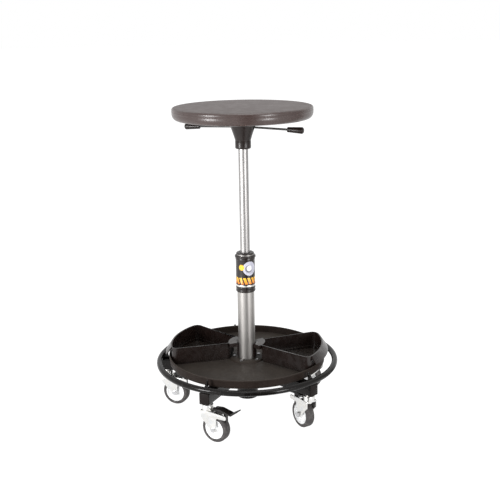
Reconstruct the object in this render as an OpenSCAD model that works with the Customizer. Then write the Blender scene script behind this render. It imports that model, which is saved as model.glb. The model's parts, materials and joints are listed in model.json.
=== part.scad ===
// Rolling workshop stool: a round seat on a gas lift, a five-leg base on braked
// casters, a round tool tray with two lift-out bins, and a foot ring.
// Millimetres, Z up. The origin is on the floor, under the axis of the column.
// Plan angles are counted from the front (-Y) towards +X.

/* [Overall] */
// Height of the seat top above the floor with the gas lift fully raised
seat_top_z = 905; // [885:1:925]
// Clearance per side between pieces that turn or slide on each other
run_gap = 0.05; // [0.03:0.01:0.08]
// Clearance per side between pieces that are assembled and stay put
fit_gap = 0.05; // [0.03:0.01:0.1]
// Gap between faces that pass each other without touching
free_gap = 0.4; // [0.3:0.05:0.6]

/* [Seat] */
// Diameter of the round seat
seat_d = 397; // [350:1:430]
// Thickness of the seat at its middle
seat_t = 35; // [32:0.5:42]
// Radius of the upper edge of the seat
seat_edge_r = 6; // [5:0.5:13]
// How far the side of the seat draws in towards its underside
seat_tuck = 14; // [10:0.5:20]
// Height of the upright part of the side of the seat
seat_side_h = 10; // [4:0.5:12]
// Diameter of the flat middle of the seat's top
seat_flat_d = 120; // [80:2:160]
// Height of the crown of the seat over its upper edge
seat_crown = 1; // [0.5:0.25:3]
// Depth of the recess under the seat
recess_h = 17; // [14:0.5:18]
// Gap between the corners of the seat plate and the wall of the recess
recess_side = 3; // [2:0.5:6]
// Thickness of the plywood board moulded into the seat
board_t = 8; // [7:0.5:10]
// How far the board reaches past the recess, inside the foam
board_margin = 35; // [20:1:45]

/* [Seat plate and tilt axle] */
// Width of the square steel plate screwed to the board
plate_w = 130; // [110:2:140]
// Thickness of the seat plate
plate_t = 3; // [2:0.25:4]
// Distance of the screw holes from the edges of the plate
plate_hole_in = 15; // [12:0.5:20]
// Diameter of the seat screws
seat_screw_d = 6; // [5:0.25:7]
// Length of the seat screws under the head
seat_screw_l = 9; // [7.5:0.25:9.5]
// Diameter of the heads of the seat screws
seat_screw_head_d = 11; // [10:0.5:13]
// Height of the heads of the seat screws
seat_screw_head_h = 3.5; // [2.5:0.25:4.5]
// Distance from the plate down to the tilt axle
axle_drop = 19; // [14:0.5:20]
// Diameter of the tilt axle
tilt_axle_d = 10; // [8:0.5:12]
// Thickness of the two ears that hold the tilt axle
ear_t = 4; // [3:0.25:5]
// Width of the ears
ear_w = 18; // [16:0.5:22]
// Thickness of the head and of the clip on the ends of the tilt axle
axle_head_t = 2.5; // [1.5:0.25:3]
// Width of the rim of the head and of the clip round the axle
axle_head_rim = 2; // [1.5:0.25:3]

/* [Socket housing] */
// Diameter of the neck that takes the top of the gas lift
neck_d = 36; // [34:0.25:38]
// Depth of the socket for the gas lift
socket_h = 43; // [38:1:55]
// Diameter of the body above the neck
housing_d = 44; // [42:0.25:45]
// Width of the body between the ears of the seat plate
housing_w = 40; // [37:0.25:41]
// Wall between the tilt axle and the outside of the body
axle_web = 2; // [1.5:0.25:3]
// Wall between the end of the gas lift and the lever slot
stop_web = 3; // [2:0.25:4]
// How far the body reaches down over the socket
housing_skirt = 13; // [10:0.5:16]

/* [Cone cover] */
// Diameter of the collar of the cover
collar_d = 45; // [40:0.25:46]
// Height of the collar
collar_h = 24.5; // [20:0.5:27]
// Diameter of the cover at its top
cover_top_d = 82; // [78:0.5:90]
// Height of the cover
cover_h = 79; // [74:0.5:80]
// Wall of the cover
cover_t = 2.5; // [2:0.25:3]
// Thickness of the lip under the neck
cover_lip_h = 7; // [5:0.5:10]
// Width of the windows for the levers
window_w = 10; // [9:0.25:12]

/* [Levers] */
// Plan angle of the two levers, from the X axis towards the front
lever_angle = 24; // [0:1:60]
// Distance from the column axis to the tips of the grips
lever_reach = 182; // [165:1:200]
// Diameter of the lever rods
lever_rod_d = 6; // [5:0.25:6.5]
// Height of the flat inner block of a lever
lever_h = 10; // [9:0.25:11]
// Width of the inner block
lever_w = 8; // [6:0.25:8]
// Room for the levers on each side, in the slot of the housing
lever_side = 0.5; // [0.4:0.05:1]
// Room over the levers in the slot of the housing
lever_head_room = 7; // [4:0.25:7.5]
// Distance from the column axis to the pins of the levers
lever_pin_x = 12; // [11:0.25:13]
// Diameter of the pins of the levers
lever_pin_d = 5; // [4:0.25:5.5]
// Length of the grips
grip_l = 47; // [40:1:55]
// Diameter of a grip at its inner end
grip_root_d = 14.5; // [10:0.25:16]
// Diameter of a grip at its tip
grip_tip_d = 18.5; // [13:0.25:19]

/* [Gas lift] */
// Diameter of the sliding cylinder
cylinder_d = 28; // [26:0.25:30]
// Length of the cylinder
cylinder_l = 511; // [495:1:525]
// Wall of the cylinder
cylinder_wall = 1.5; // [1:0.25:2.5]
// Height of the valve body in the top of the cylinder
valve_h = 20; // [15:0.5:26]
// Height of the rod guide in the foot of the cylinder
rod_guide_h = 12; // [8:0.5:16]
// Diameter of the piston rod
piston_rod_d = 10; // [8:0.25:11]
// Height of the piston
piston_h = 14; // [10:0.5:18]
// Gap between the piston and the rod guide with the lift fully raised
piston_stop = 2; // [1:0.25:4]
// Diameter of the release pin
release_pin_d = 5; // [4:0.25:6]
// How far the release pin stands out of the cylinder
pin_proud = 5.6; // [5:0.2:7]
// Length of the release pin inside the valve body
pin_depth = 8.5; // [6:0.5:12]

/* [Column] */
// Diameter of the column tube
column_d = 50; // [48:0.25:52]
// Wall of the column tube
column_wall = 2; // [1.5:0.25:3]
// Height of the top of the column tube
column_top_z = 478; // [465:1:485]
// Thickness of the plate in the foot of the column
foot_plate_t = 5; // [4:0.5:8]
// Length of the guide bush inside the column
bush_h = 104; // [80:1:120]
// Height of the cap of the guide bush
bush_cap_h = 5; // [4:0.25:7]
// How far the cap stands over the side of the column
bush_cap_lip = 1; // [0.5:0.25:2]
// Height of the upper collar
upper_collar_h = 8; // [6:0.5:11]
// Distance from the top of the column down to the upper collar
upper_collar_drop = 3; // [2:0.5:8]
// Thickness of the upper collar round the column
upper_collar_t = 5.5; // [4:0.25:8]
// Height of the sleeve that carries the label
sleeve_h = 79.5; // [70:1:85]
// Thickness of the sleeve
sleeve_t = 3.5; // [2:0.25:4]
// Height of the pale trim ring under the sleeve
trim_h = 5.5; // [4:0.25:10]
// Thickness of the trim ring
trim_t = 2.8; // [1.5:0.1:3.5]
// Height of the grooved lower collar
lower_collar_h = 17; // [12:0.5:20]
// Thickness of the lower collar
lower_collar_t = 3.5; // [3:0.25:6]
// Thickness of the thrust bearing under the piston rod
bearing_h = 6; // [4:0.25:8]
// Diameter of the thrust bearing
bearing_d = 24; // [20:0.5:30]

/* [Base] */
// Outer diameter of the hub
hub_d = 63; // [60:0.5:68]
// Height of the foot of the hub above the floor
hub_foot_z = 33.5; // [26:0.5:36]
// Height of the step in the hub that carries the column
hub_step_h = 7; // [6:0.25:10]
// Width of a leg
leg_w = 30; // [28:0.5:36]
// Height of a leg
leg_h = 34; // [32:0.5:38]
// Wall of a leg
leg_wall = 2; // [1.5:0.25:3]
// Distance from the column axis to the swivel axis of a caster
swivel_r = 246; // [235:1:255]
// How far a leg reaches past the swivel axis of its caster
leg_tip = 20; // [16:0.5:22]
// Thickness of the plate of a leg end cap
end_cap_t = 4; // [2.5:0.25:4.5]
// Length of the plug of a leg end cap inside the leg
end_plug_l = 26; // [20:1:36]
// Plan angle of the first leg
base_angle = -27.2; // [-34:0.2:-20]

/* [Foot ring] */
// Diameter of the ring along the middle of its tube
ring_d = 523; // [510:1:530]
// Diameter of the ring's tube
ring_tube_d = 17; // [14:0.25:17.5]
// Height of the middle of the ring above the tops of the legs
ring_rise = 9; // [9:0.25:13]
// Thickness of the brackets that hold the ring
bracket_t = 5; // [4:0.25:8]
// Height of the pointed tip of a bracket above the leg
bracket_tip_h = 32; // [26:0.5:36]
// Distance from the middle of the ring's tube in to the foot of a bracket
bracket_in = 24; // [20:0.5:26]

/* [Tool tray] */
// Gap between the rim of the tray and the ring
tray_gap = 20.5; // [14:0.5:24]
// Height of the tray's rim over its underside
tray_h = 25; // [22:0.5:30]
// Height of the foot of the tray over the legs
tray_foot_h = 8; // [6:0.5:10]
// Wall of the tray
tray_t = 3; // [2:0.25:4]
// How much wider the tray is at its rim than at its floor, per side
tray_lean = 1.5; // [1:0.25:4]
// Outer radius of the corner between floor and wall
tray_corner_r = 4; // [3.5:0.25:7]
// Thickness of the bead round the rim
bead_t = 4.5; // [4.25:0.25:6]
// Outer diameter of the raised boss round the column
boss_d = 96; // [86:1:98]
// Height of the boss above the tray floor
boss_h = 4; // [3:0.25:6]
// Distance from the column axis to the tray screws
tray_screw_r = 39; // [38:0.25:41]
// Diameter of the tray screws
tray_screw_d = 5; // [4:0.25:6]
// Diameter of the heads of the tray screws
tray_screw_head_d = 9; // [8:0.25:10]
// Height of the heads of the tray screws
tray_screw_head_h = 2.5; // [2:0.25:3]
// Length of the tray screws under the head
tray_screw_l = 20; // [18:0.5:24]

/* [Bins] */
// Angle that a bin spans
bin_angle = 60; // [50:1:66]
// Plan angle of the middle of the left bin
left_bin_angle = -106.5; // [-110:0.5:-100]
// Plan angle of the middle of the right bin
right_bin_angle = 80.3; // [75:0.1:90]
// Height of a bin
bin_h = 52; // [48:0.5:56]
// Wall of a bin
bin_t = 2.5; // [2:0.25:3.5]
// Distance from the column axis to the inner end of a bin
bin_in_r = 52; // [50:0.5:60]
// Radius of the outer corners of a bin
bin_corner_r = 16; // [12:0.5:24]
// Radius of the inner corners of a bin
bin_nook_r = 10; // [8:0.5:14]
// How far the foot of a bin is drawn in
bin_foot_in = 4; // [3.5:0.25:6]
// Height of the foot of a bin
bin_foot_h = 7; // [6.5:0.25:10]
// Gap between a bin and the wall of the tray
bin_gap = 3; // [2.5:0.25:6]
// Gap between the feet of a bin and the floor of the tray
bin_rest = 0.05; // [0.03:0.01:0.1]
// How far the skirt stands out beyond the wall of a bin, at its lower edge
skirt_out = 17; // [12:0.5:18]
// Height of the skirt round the outer wall of a bin
skirt_h = 22; // [16:0.5:24]
// Angle spanned by the nose that sits round the column
nose_angle = 76; // [60:1:90]
// Height of the nose
nose_h = 12; // [9:0.5:16]
// Radius of the rounded top edge of the nose
nose_r = 9; // [6:0.5:9]
// Gap between the nose and the column
nose_gap = 1.5; // [1:0.1:3]

/* [Casters] */
// Height from the floor to the underside of a leg
caster_h = 109; // [107:0.5:113]
// Diameter of a wheel
wheel_d = 80; // [77:0.5:81]
// Width of a tyre
tyre_w = 25; // [21:0.5:26]
// Thickness of the tyre's tread
tyre_t = 10.5; // [6:0.25:12]
// Radius of the tyre's shoulders
shoulder_r = 5; // [3:0.25:6]
// Width of the hub of a wheel
wheel_hub_w = 29; // [27:0.25:29]
// Diameter of the hub of a wheel
wheel_hub_d = 22; // [18:0.5:26]
// Depth of the dish in the sides of a wheel
dish = 3; // [2:0.25:5]
// Distance from the swivel axis to the wheel's axle
trail = 28; // [26:0.5:30]
// Thickness of the fork's steel
fork_t = 2.5; // [2:0.25:3]
// Distance between the cheeks of the fork
fork_gap = 30; // [29.6:0.1:32]
// Thickness of the crown of the fork
crown_t = 4; // [3:0.25:4.5]
// Height of the crown above the floor
crown_z = 87; // [86:0.1:89]
// Height of the part of the cheeks that is as wide as the crown
cheek_h = 16; // [8:0.5:20]
// Distance from the swivel axis to the back end of the cheeks
cheek_back_x = 70; // [62:0.5:74]
// Height of the lower edge of the back part of the cheeks
cheek_back_z = 76; // [72:0.5:78]
// How much lower than the crown the cheeks are at their back end
cheek_fall = 3; // [1:0.25:5]
// Diameter of the ball race on the crown
race_d = 32; // [28:0.5:34]
// Diameter of the stem that screws into the leg
stem_d = 11; // [10:0.25:12]
// Length of the stem inside the leg
stem_l = 32; // [26:0.5:34]
// Wall of the grip sleeve round the stem
stem_sleeve_t = 1.5; // [1:0.25:2]
// Thickness of the flange of the stem
flange_t = 3; // [2.5:0.25:4]
// Diameter of the flange of the stem
flange_d = 24; // [22:0.5:28]
// Diameter of the wheel's axle bolt
wheel_axle_d = 8; // [7:0.25:10]
// Width of the bolt head and nut over their corners
nut_d = 14; // [13:0.25:16]
// Height of the bolt head and the nut
nut_h = 5; // [4:0.25:5.5]
// Wall of the fork round the axle bolt
axle_boss_t = 4.5; // [3:0.25:6]
// How far the crown reaches behind the swivel axis, short of the trail
crown_short = 6; // [5:0.25:10]
// Height of the riveted end of the stem under the crown
rivet_h = 4; // [2.5:0.25:4.5]
// Width of the rim of the riveted end round the stem
rivet_rim = 3.5; // [2:0.25:4]
// How far the rim of a wheel lies inside the sides of the tyre
rim_inset = 0.5; // [0.25:0.05:1.5]
// Width of the sloped steps in the sides of a wheel
wheel_slope = 1; // [0.5:0.1:1.5]

/* [Brake pedals] */
// Thickness of the pedal's tail
pedal_t = 3; // [2.5:0.25:3.5]
// Thickness of the plate in its middle
plate_t_mid = 6; // [4:0.25:7]
// Thickness of the ears that the pedal turns on
pedal_ear_t = 5; // [4:0.25:6]
// Diameter of the pivot pin through the cheeks of the fork
pivot_d = 6; // [5:0.25:7]
// Distance of the pivot behind the swivel axis
pivot_x = 46; // [42:0.5:50]
// Distance of the pivot below the top of the crown
pivot_drop = 6.5; // [5.5:0.25:7]
// How far the ends of the pin stand out of the cheeks
pin_end = 1; // [0.5:0.25:1.5]
// Width of the ears round the pin
pivot_rim = 2.5; // [2:0.25:3]
// Distance from the swivel axis to the end of the pedal's tail
tail_x = 103; // [90:0.5:104]
// Height of the end of the tail above the pivot
tail_rise = 20; // [14:0.5:20]
// Width of the pedal
tail_w = 24; // [18:1:28]
// Gap between the crown of the fork and the pedal's plate
pedal_gap = 2.5; // [2:0.25:5]
// Height of the front end of the plate over the crown
plate_rise = 8.5; // [7:0.25:10]
// Height of the middle of the plate over the crown
arch_rise = 10.5; // [8:0.25:12]
// Distance from the swivel axis to the dip between plate and tail
dip_x = 83; // [76:0.5:86]
// Height of the underside of the dip above the pivot
dip_rise = 5; // [2:0.25:7]
// Plan length of the brake shoe, as an angle round the axle
shoe_arc = 14; // [8:1:18]
// Angle round the axle, above level, at which the brake shoe starts
shoe_start = 38; // [34:1:44]
// Gap between the shoe and the tread with the pedal fully pressed
shoe_gap = 0.4; // [0.3:0.05:0.6]
// Angle that the pedal is pressed down by
press_angle = 5; // [4:0.5:6]

/* [Hidden] */
$fn = 96;

// Overrun of a cut past the face it cuts
over = 1;
leg_count = 5;
// Plan angle that each caster trails towards, for legs 1 to 5
trail_angles = [57.5, -148, -120, 106, 68];

// Heights of the seat and its mechanism, from the top down
seat_r = seat_d / 2;
seat_foot_z = seat_top_z - seat_t;
board_z = seat_foot_z + recess_h;
plate_z = board_z - plate_t;
recess_r = plate_w * sqrt(2) / 2 + recess_side;
board_r = recess_r + board_margin;
screw_pitch = plate_w - 2 * plate_hole_in;
axle_z = plate_z - axle_drop;
axle_half = tilt_axle_d / 2 + axle_web;
housing_top_z = axle_z + axle_half;
slot_top_z = axle_z - axle_half;
lever_z = slot_top_z - lever_head_room - lever_h / 2;
lever_foot_z = lever_z - lever_h / 2;
pin_top_z = lever_foot_z - free_gap;
cylinder_top_z = pin_top_z - pin_proud;
slot_foot_z = cylinder_top_z + stop_web;
housing_foot_z = cylinder_top_z - housing_skirt;
neck_foot_z = cylinder_top_z - socket_h;
slot_w = lever_w + 2 * lever_side;
ear_x = housing_w / 2 + lever_side;
axle_end_x = ear_x + ear_t;

// The cone cover
cover_foot_z = neck_foot_z - cover_lip_h;
cover_top_z = cover_foot_z + cover_h;
flare_z = cover_foot_z + collar_h;
flare_steps = 12;
// Above 1 the flare starts slowly and widens towards the top
flare_bend = 1.08;
window_rise = 3.5;

// The levers
lever_nose_x = release_pin_d / 2;
tilt_nose_x = -lever_pin_x / 2;
lever_root_x = axle_end_x + lever_side;
lever_droop = 1.6;
rod_overlap = 3;
rod_in_grip = grip_l - grip_root_d / 2;
rod_l = (lever_reach - lever_root_x) / cos(lever_droop);
pin_half_l = sqrt(pow(housing_d / 2, 2) - pow(lever_pin_x, 2)) - over;

// The gas lift
cylinder_foot_z = cylinder_top_z - cylinder_l;
piston_z = cylinder_foot_z + rod_guide_h + piston_stop;
piston_gap = 2 * run_gap;
column_r = column_d / 2;
column_foot_z = hub_foot_z + hub_step_h;
bearing_z = column_foot_z + foot_plate_t;
rod_collar_z = bearing_z + bearing_h + free_gap;
rod_collar_h = piston_rod_d / 3;
rod_collar_d = bearing_d - rod_collar_h;
clip_t = piston_rod_d * 0.15;
clip_z = column_foot_z - free_gap - clip_t;
clip_groove = piston_rod_d * 0.08;
rod_foot_z = clip_z - clip_t * 2;

// The column's trims, from the top down
cap_z = column_top_z + bush_cap_h;
upper_collar_z = column_top_z - upper_collar_drop - upper_collar_h;
sleeve_z = upper_collar_z - sleeve_h;
trim_z = sleeve_z - trim_h;
lower_collar_z = trim_z - lower_collar_h;
groove_w = lower_collar_h / 9;

// The base
leg_foot_z = caster_h;
leg_top_z = caster_h + leg_h;
leg_end_r = swivel_r + leg_tip;
leg_tube_r = leg_end_r - end_cap_t;
hub_r = hub_d / 2;
sleeve_bore_d = stem_d + 2 * fit_gap;
stem_sleeve_d = sleeve_bore_d + 2 * stem_sleeve_t;
plug_bore_d = stem_sleeve_d + 2 * fit_gap;
stem_top_z = leg_foot_z + stem_l;

// The foot ring, tray and bins
ring_r = ring_d / 2;
ring_z = leg_top_z + ring_rise;
ring_in_r = ring_r - ring_tube_d / 2;
tray_rim_r = ring_in_r - tray_gap;
tray_wall_r = tray_rim_r - tray_lean;
tray_foot_z = leg_top_z + tray_foot_h;
tray_floor_z = tray_foot_z + tray_t;
tray_rim_z = tray_foot_z + tray_h;
corner_steps = 6;
boss_top_z = tray_floor_z + boss_h;
tray_hole_d = column_d + 2 * free_gap;
bin_foot_z = tray_floor_z + bin_rest;
bin_top_z = bin_foot_z + bin_h;
bin_body_r = tray_wall_r - tray_t - bin_gap;
skirt_r = bin_body_r + skirt_out;
skirt_z = bin_top_z - skirt_h;
nose_in_r = column_r + nose_gap;
nose_steps = 8;

// The casters
// How far the crown reaches in front of the swivel axis, as a share of the race
crown_front_share = 0.4;
wheel_r = wheel_d / 2;
rim_r = wheel_r - tyre_t;
race_top_z = leg_foot_z - flange_t - free_gap;
rivet_d = stem_d + 2 * rivet_rim;
cheek_y = fork_gap / 2;
fork_w = fork_gap + 2 * fork_t;
crown_top_z = crown_z + crown_t;
axle_boss_r = wheel_axle_d / 2 + axle_boss_t;
crown_front_x = -race_d * crown_front_share;
crown_back_x = trail - crown_short;
pivot_z = crown_top_z - pivot_drop;
ear_out_y = cheek_y - lever_side;
ear_in_y = ear_out_y - pedal_ear_t;

// A solid cylinder about Z between two heights
module post(d, z0, z1) {
    translate([0, 0, z0]) cylinder(d = d, h = z1 - z0);
}

// A tube about Z between two heights
module pipe(d_out, d_in, z0, z1) {
    difference() {
        post(d_out, z0, z1);
        post(d_in, z0 - over, z1 + over);
    }
}

// A cylinder along X, its axis at height z
module lying(d, x0, x1, z) {
    translate([x0, 0, z]) rotate([0, 90, 0]) cylinder(d = d, h = x1 - x0);
}

// A cylinder along Y, its axis at x and z
module across(d, y0, y1, x, z) {
    translate([x, y1, z]) rotate([90, 0, 0]) cylinder(d = d, h = y1 - y0);
}

// A box centred on the X axis
module block(x0, x1, w, z0, z1) {
    translate([x0, -w / 2, z0]) cube([x1 - x0, w, z1 - z0]);
}

// A plate in the XZ plane, between two places along Y
module side_plate(outline, y0, y1) {
    translate([0, y1, 0]) rotate([90, 0, 0]) linear_extrude(y1 - y0) polygon(outline);
}

// Turns what points along +X towards a plan angle
module spoke(plan) {
    rotate([0, 0, plan - 90]) children();
}

// The frame of the levers and the tilt axle: +X along the height lever
module lever_frame() {
    rotate([0, 0, -lever_angle]) children();
}

// Points of an arc, counterclockwise where to is larger than from
function arc(cx, cy, rx, ry, from, to, steps) = [
    for (i = [0:steps]) let (a = from + (to - from) * i / steps)
        [cx + rx * cos(a), cy + ry * sin(a)]
];

function leg_plan(i) = base_angle + 360 / leg_count * (i - 1);

// Seat

module seat_cushion() {
    edge_x = seat_r - seat_edge_r;
    edge_z = seat_top_z - seat_crown - seat_edge_r;
    side_z = edge_z - seat_side_h;
    flat_r = seat_flat_d / 2;
    // The crown falls by the square of the distance from the flat middle
    crown = [
        for (i = [0:8])
            [flat_r + (edge_x - flat_r) * i / 8, seat_top_z - seat_crown * pow(i / 8, 2)]
    ];
    upper = arc(edge_x, edge_z, seat_edge_r, seat_edge_r, 90, 0, 8);
    lower = arc(seat_r - seat_tuck, side_z, seat_tuck, side_z - seat_foot_z, 0, -90, 10);
    upper_tail = [for (i = [1:8]) upper[i]];
    hollow = [
        [recess_r, seat_foot_z],
        [recess_r, board_z],
        [board_r, board_z],
        [board_r, board_z + board_t],
        [0, board_z + board_t],
        [0, seat_top_z]
    ];
    color("#3f3a3a") rotate_extrude() polygon(concat(crown, upper_tail, lower, hollow));
}

module at_seat_screws() {
    for (x = [-1, 1], y = [-1, 1])
        translate([x * screw_pitch / 2, y * screw_pitch / 2, 0]) children();
}

module seat_board() {
    color("#b98f5e") lever_frame() difference() {
        post(2 * board_r, board_z, board_z + board_t);
        at_seat_screws()
            post(seat_screw_d + 2 * fit_gap, board_z - over, plate_z + seat_screw_l + free_gap);
    }
}

module seat_plate() {
    color("#4a4a4c") lever_frame() difference() {
        union() {
            block(-plate_w / 2, plate_w / 2, plate_w, plate_z, board_z);
            for (side = [0, 1]) mirror([side, 0, 0]) {
                block(ear_x, axle_end_x, ear_w, axle_z, plate_z + plate_t / 2);
                lying(ear_w, ear_x, axle_end_x, axle_z);
            }
        }
        at_seat_screws() post(seat_screw_d + 2 * fit_gap, plate_z - over, board_z + over);
        lying(tilt_axle_d + 2 * fit_gap, -axle_end_x - over, axle_end_x + over, axle_z);
    }
}

module seat_screws() {
    color("#8d8f92") lever_frame() at_seat_screws() {
        post(seat_screw_d, plate_z - seat_screw_head_h / 2, plate_z + seat_screw_l);
        post(seat_screw_head_d, plate_z - seat_screw_head_h, plate_z);
    }
}

module tilt_axle() {
    head_d = tilt_axle_d + 2 * axle_head_rim;
    far_x = axle_end_x + axle_head_t;
    color("#9a9c9f") lever_frame() {
        lying(tilt_axle_d, -far_x, axle_end_x + axle_head_t / 2, axle_z);
        lying(head_d, axle_end_x, far_x, axle_z);
        // Retaining ring on the other end
        difference() {
            lying(head_d, -far_x, -axle_end_x, axle_z);
            lying(tilt_axle_d, -far_x - over, over - axle_end_x, axle_z);
        }
    }
}

// Socket housing, cover and levers

module socket_housing() {
    color("#55565a") lever_frame() difference() {
        union() {
            post(neck_d, neck_foot_z, housing_foot_z + over);
            intersection() {
                post(housing_d, housing_foot_z, housing_top_z);
                block(-housing_w / 2, housing_w / 2, housing_d, housing_foot_z, housing_top_z);
            }
        }
        post(cylinder_d + 2 * fit_gap, neck_foot_z - over, cylinder_top_z);
        post(cylinder_d / 2, cylinder_top_z - over, slot_foot_z + over);
        block(-housing_d, housing_d, slot_w, slot_foot_z, slot_top_z);
        lying(tilt_axle_d + 2 * run_gap, -housing_d, housing_d, axle_z);
        for (side = [-1, 1])
            across(lever_pin_d + 2 * fit_gap, -housing_d, housing_d, side * lever_pin_x, lever_z);
    }
}

module lever_pins() {
    color("#9a9c9f") lever_frame() for (side = [-1, 1])
        across(lever_pin_d, -pin_half_l, pin_half_l, side * lever_pin_x, lever_z);
}

// Radius of the flared part of the cover, for a share of its height
function flare_r(share) = collar_d / 2 + (cover_top_d - collar_d) / 2 * pow(share, flare_bend);

module cone_cover() {
    flare_h = cover_top_z - flare_z;
    steps = [for (i = [0:flare_steps]) i / flare_steps];
    outside = [for (s = steps) [flare_r(s), flare_z + flare_h * s]];
    inside = [for (s = steps) [flare_r(1 - s) - cover_t, cover_top_z - flare_h * s]];
    collar_bore = neck_d / 2 + fit_gap;
    lip_bore = cylinder_d / 2 + lever_side;
    foot = [
        [collar_bore, flare_z - cover_t],
        [collar_bore, neck_foot_z],
        [lip_bore, neck_foot_z],
        [lip_bore, cover_foot_z],
        [collar_d / 2, cover_foot_z]
    ];
    color("#1b1a1a") lever_frame() difference() {
        rotate_extrude() polygon(concat(outside, inside, foot));
        for (rise = [-1, 1])
            lying(window_w, -cover_top_d, cover_top_d, lever_z + rise * window_rise);
        block(-cover_top_d, cover_top_d, window_w, lever_z - window_rise, lever_z + window_rise);
    }
}

// A lever along +X: a flat block on its pin, then a round rod that droops a little
module lever(nose_x) {
    difference() {
        union() {
            block(nose_x, lever_root_x, lever_w, lever_foot_z, lever_z + lever_h / 2);
            translate([lever_root_x, 0, lever_z]) rotate([0, 90 + lever_droop, 0])
                translate([0, 0, -rod_overlap])
                    cylinder(d = lever_rod_d, h = rod_l + rod_overlap - grip_l + rod_in_grip);
        }
        across(lever_pin_d + 2 * run_gap, -lever_w, lever_w, lever_pin_x, lever_z);
    }
}

// A grip that widens towards a rounded tip
module grip() {
    round_r = grip_tip_d * 0.3;
    bore_r = lever_rod_d / 2 + fit_gap;
    tip = arc(grip_tip_d / 2 - round_r, grip_l - round_r, round_r, round_r, 0, 90, 6);
    outline = concat(
        [[bore_r, 0], [grip_root_d / 2 - over / 2, 0], [grip_root_d / 2, over / 2]],
        tip,
        [[0, grip_l], [0, rod_in_grip + fit_gap], [bore_r, rod_in_grip + fit_gap]]
    );
    translate([lever_root_x, 0, lever_z]) rotate([0, 90 + lever_droop, 0])
        translate([0, 0, rod_l - grip_l]) rotate_extrude() polygon(outline);
}

module height_lever() {
    color("#1f1f20") lever_frame() lever(-lever_nose_x);
}

module height_grip() {
    color("#141414") lever_frame() grip();
}

module tilt_lever() {
    color("#1f1f20") lever_frame() rotate([0, 0, 180]) lever(-tilt_nose_x);
}

module tilt_grip() {
    color("#141414") lever_frame() rotate([0, 0, 180]) grip();
}

// Gas lift

module gas_cylinder() {
    bore_d = cylinder_d - 2 * cylinder_wall;
    color("#c9ccd0") difference() {
        post(cylinder_d, cylinder_foot_z, cylinder_top_z);
        post(bore_d, cylinder_foot_z + rod_guide_h, cylinder_top_z - valve_h);
        post(piston_rod_d + 2 * run_gap, cylinder_foot_z - over, cylinder_foot_z + rod_guide_h + over);
        post(release_pin_d + 2 * run_gap, cylinder_top_z - valve_h - over, cylinder_top_z + over);
    }
}

module release_pin() {
    color("#b0b3b7") post(release_pin_d, cylinder_top_z - pin_depth, pin_top_z);
}

module piston_rod() {
    piston_d = cylinder_d - 2 * cylinder_wall - 2 * piston_gap;
    color("#d5d8dc") difference() {
        union() {
            post(piston_rod_d, rod_foot_z, piston_z + piston_h / 2);
            post(piston_d, piston_z, piston_z + piston_h);
            post(rod_collar_d, rod_collar_z, rod_collar_z + rod_collar_h);
        }
        pipe(piston_rod_d + over, piston_rod_d - 2 * clip_groove, clip_z, clip_z + clip_t);
    }
}

module rod_clip() {
    color("#8d8f92") pipe(piston_rod_d * 1.6, piston_rod_d - 2 * clip_groove, clip_z, clip_z + clip_t);
}

module thrust_bearing() {
    color("#8d8f92") pipe(bearing_d, piston_rod_d + 2 * free_gap, bearing_z, bearing_z + bearing_h);
}

// Column

module column_tube() {
    color("#a9a7a3") difference() {
        post(column_d, column_foot_z, column_top_z);
        post(column_d - 2 * column_wall, bearing_z, column_top_z + over);
        post(piston_rod_d + 2 * free_gap, column_foot_z - over, bearing_z + over);
    }
}

module guide_bush() {
    bush_d = column_d - 2 * column_wall - 2 * fit_gap;
    cap_d = column_d + 2 * bush_cap_lip;
    color("#232222") difference() {
        union() {
            post(bush_d, column_top_z - bush_h, column_top_z + over);
            post(cap_d, column_top_z, cap_z);
        }
        post(cylinder_d + 2 * run_gap, column_top_z - bush_h - over, cap_z + over);
    }
}

// A plain ring round the column
module column_band(thick, z0, z1) {
    pipe(column_d + 2 * thick, column_d + 2 * fit_gap, z0, z1);
}

module upper_collar() {
    color("#232222") column_band(upper_collar_t, upper_collar_z, upper_collar_z + upper_collar_h);
}

module column_sleeve() {
    color("#2b2a29") column_band(sleeve_t, sleeve_z, sleeve_z + sleeve_h);
}

module trim_ring() {
    color("#c9c6bd") column_band(trim_t, trim_z, sleeve_z);
}

module lower_collar() {
    middle = lower_collar_z + lower_collar_h / 2;
    outer_d = column_d + 2 * lower_collar_t;
    color("#232222") difference() {
        column_band(lower_collar_t, lower_collar_z, trim_z);
        pipe(outer_d + over, outer_d - lower_collar_t / 2, middle - groove_w, middle + groove_w);
    }
}

// Base

module base_hub() {
    step_bore = column_d - 4 * column_wall;
    color("#1a1a1b") difference() {
        post(hub_d, hub_foot_z, leg_top_z);
        post(column_d + 2 * fit_gap, column_foot_z, leg_top_z + over);
        post(step_bore, hub_foot_z - over, column_foot_z + over);
    }
}

module at_legs() {
    for (i = [1:leg_count]) spoke(leg_plan(i)) children();
}

module base_legs() {
    color("#1a1a1b") at_legs() difference() {
        block(hub_r / 2, leg_tube_r, leg_w, leg_foot_z, leg_top_z);
        block(0, leg_tube_r + over, leg_w - 2 * leg_wall, leg_foot_z + leg_wall, leg_top_z - leg_wall);
        post(hub_d, leg_foot_z - over, leg_top_z + over);
        translate([swivel_r, 0, 0]) post(plug_bore_d, leg_foot_z - over, leg_foot_z + leg_wall + over);
        translate([tray_screw_r, 0, 0])
            post(tray_screw_d + 2 * fit_gap, leg_top_z - leg_wall - over, leg_top_z + over);
    }
}

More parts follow.
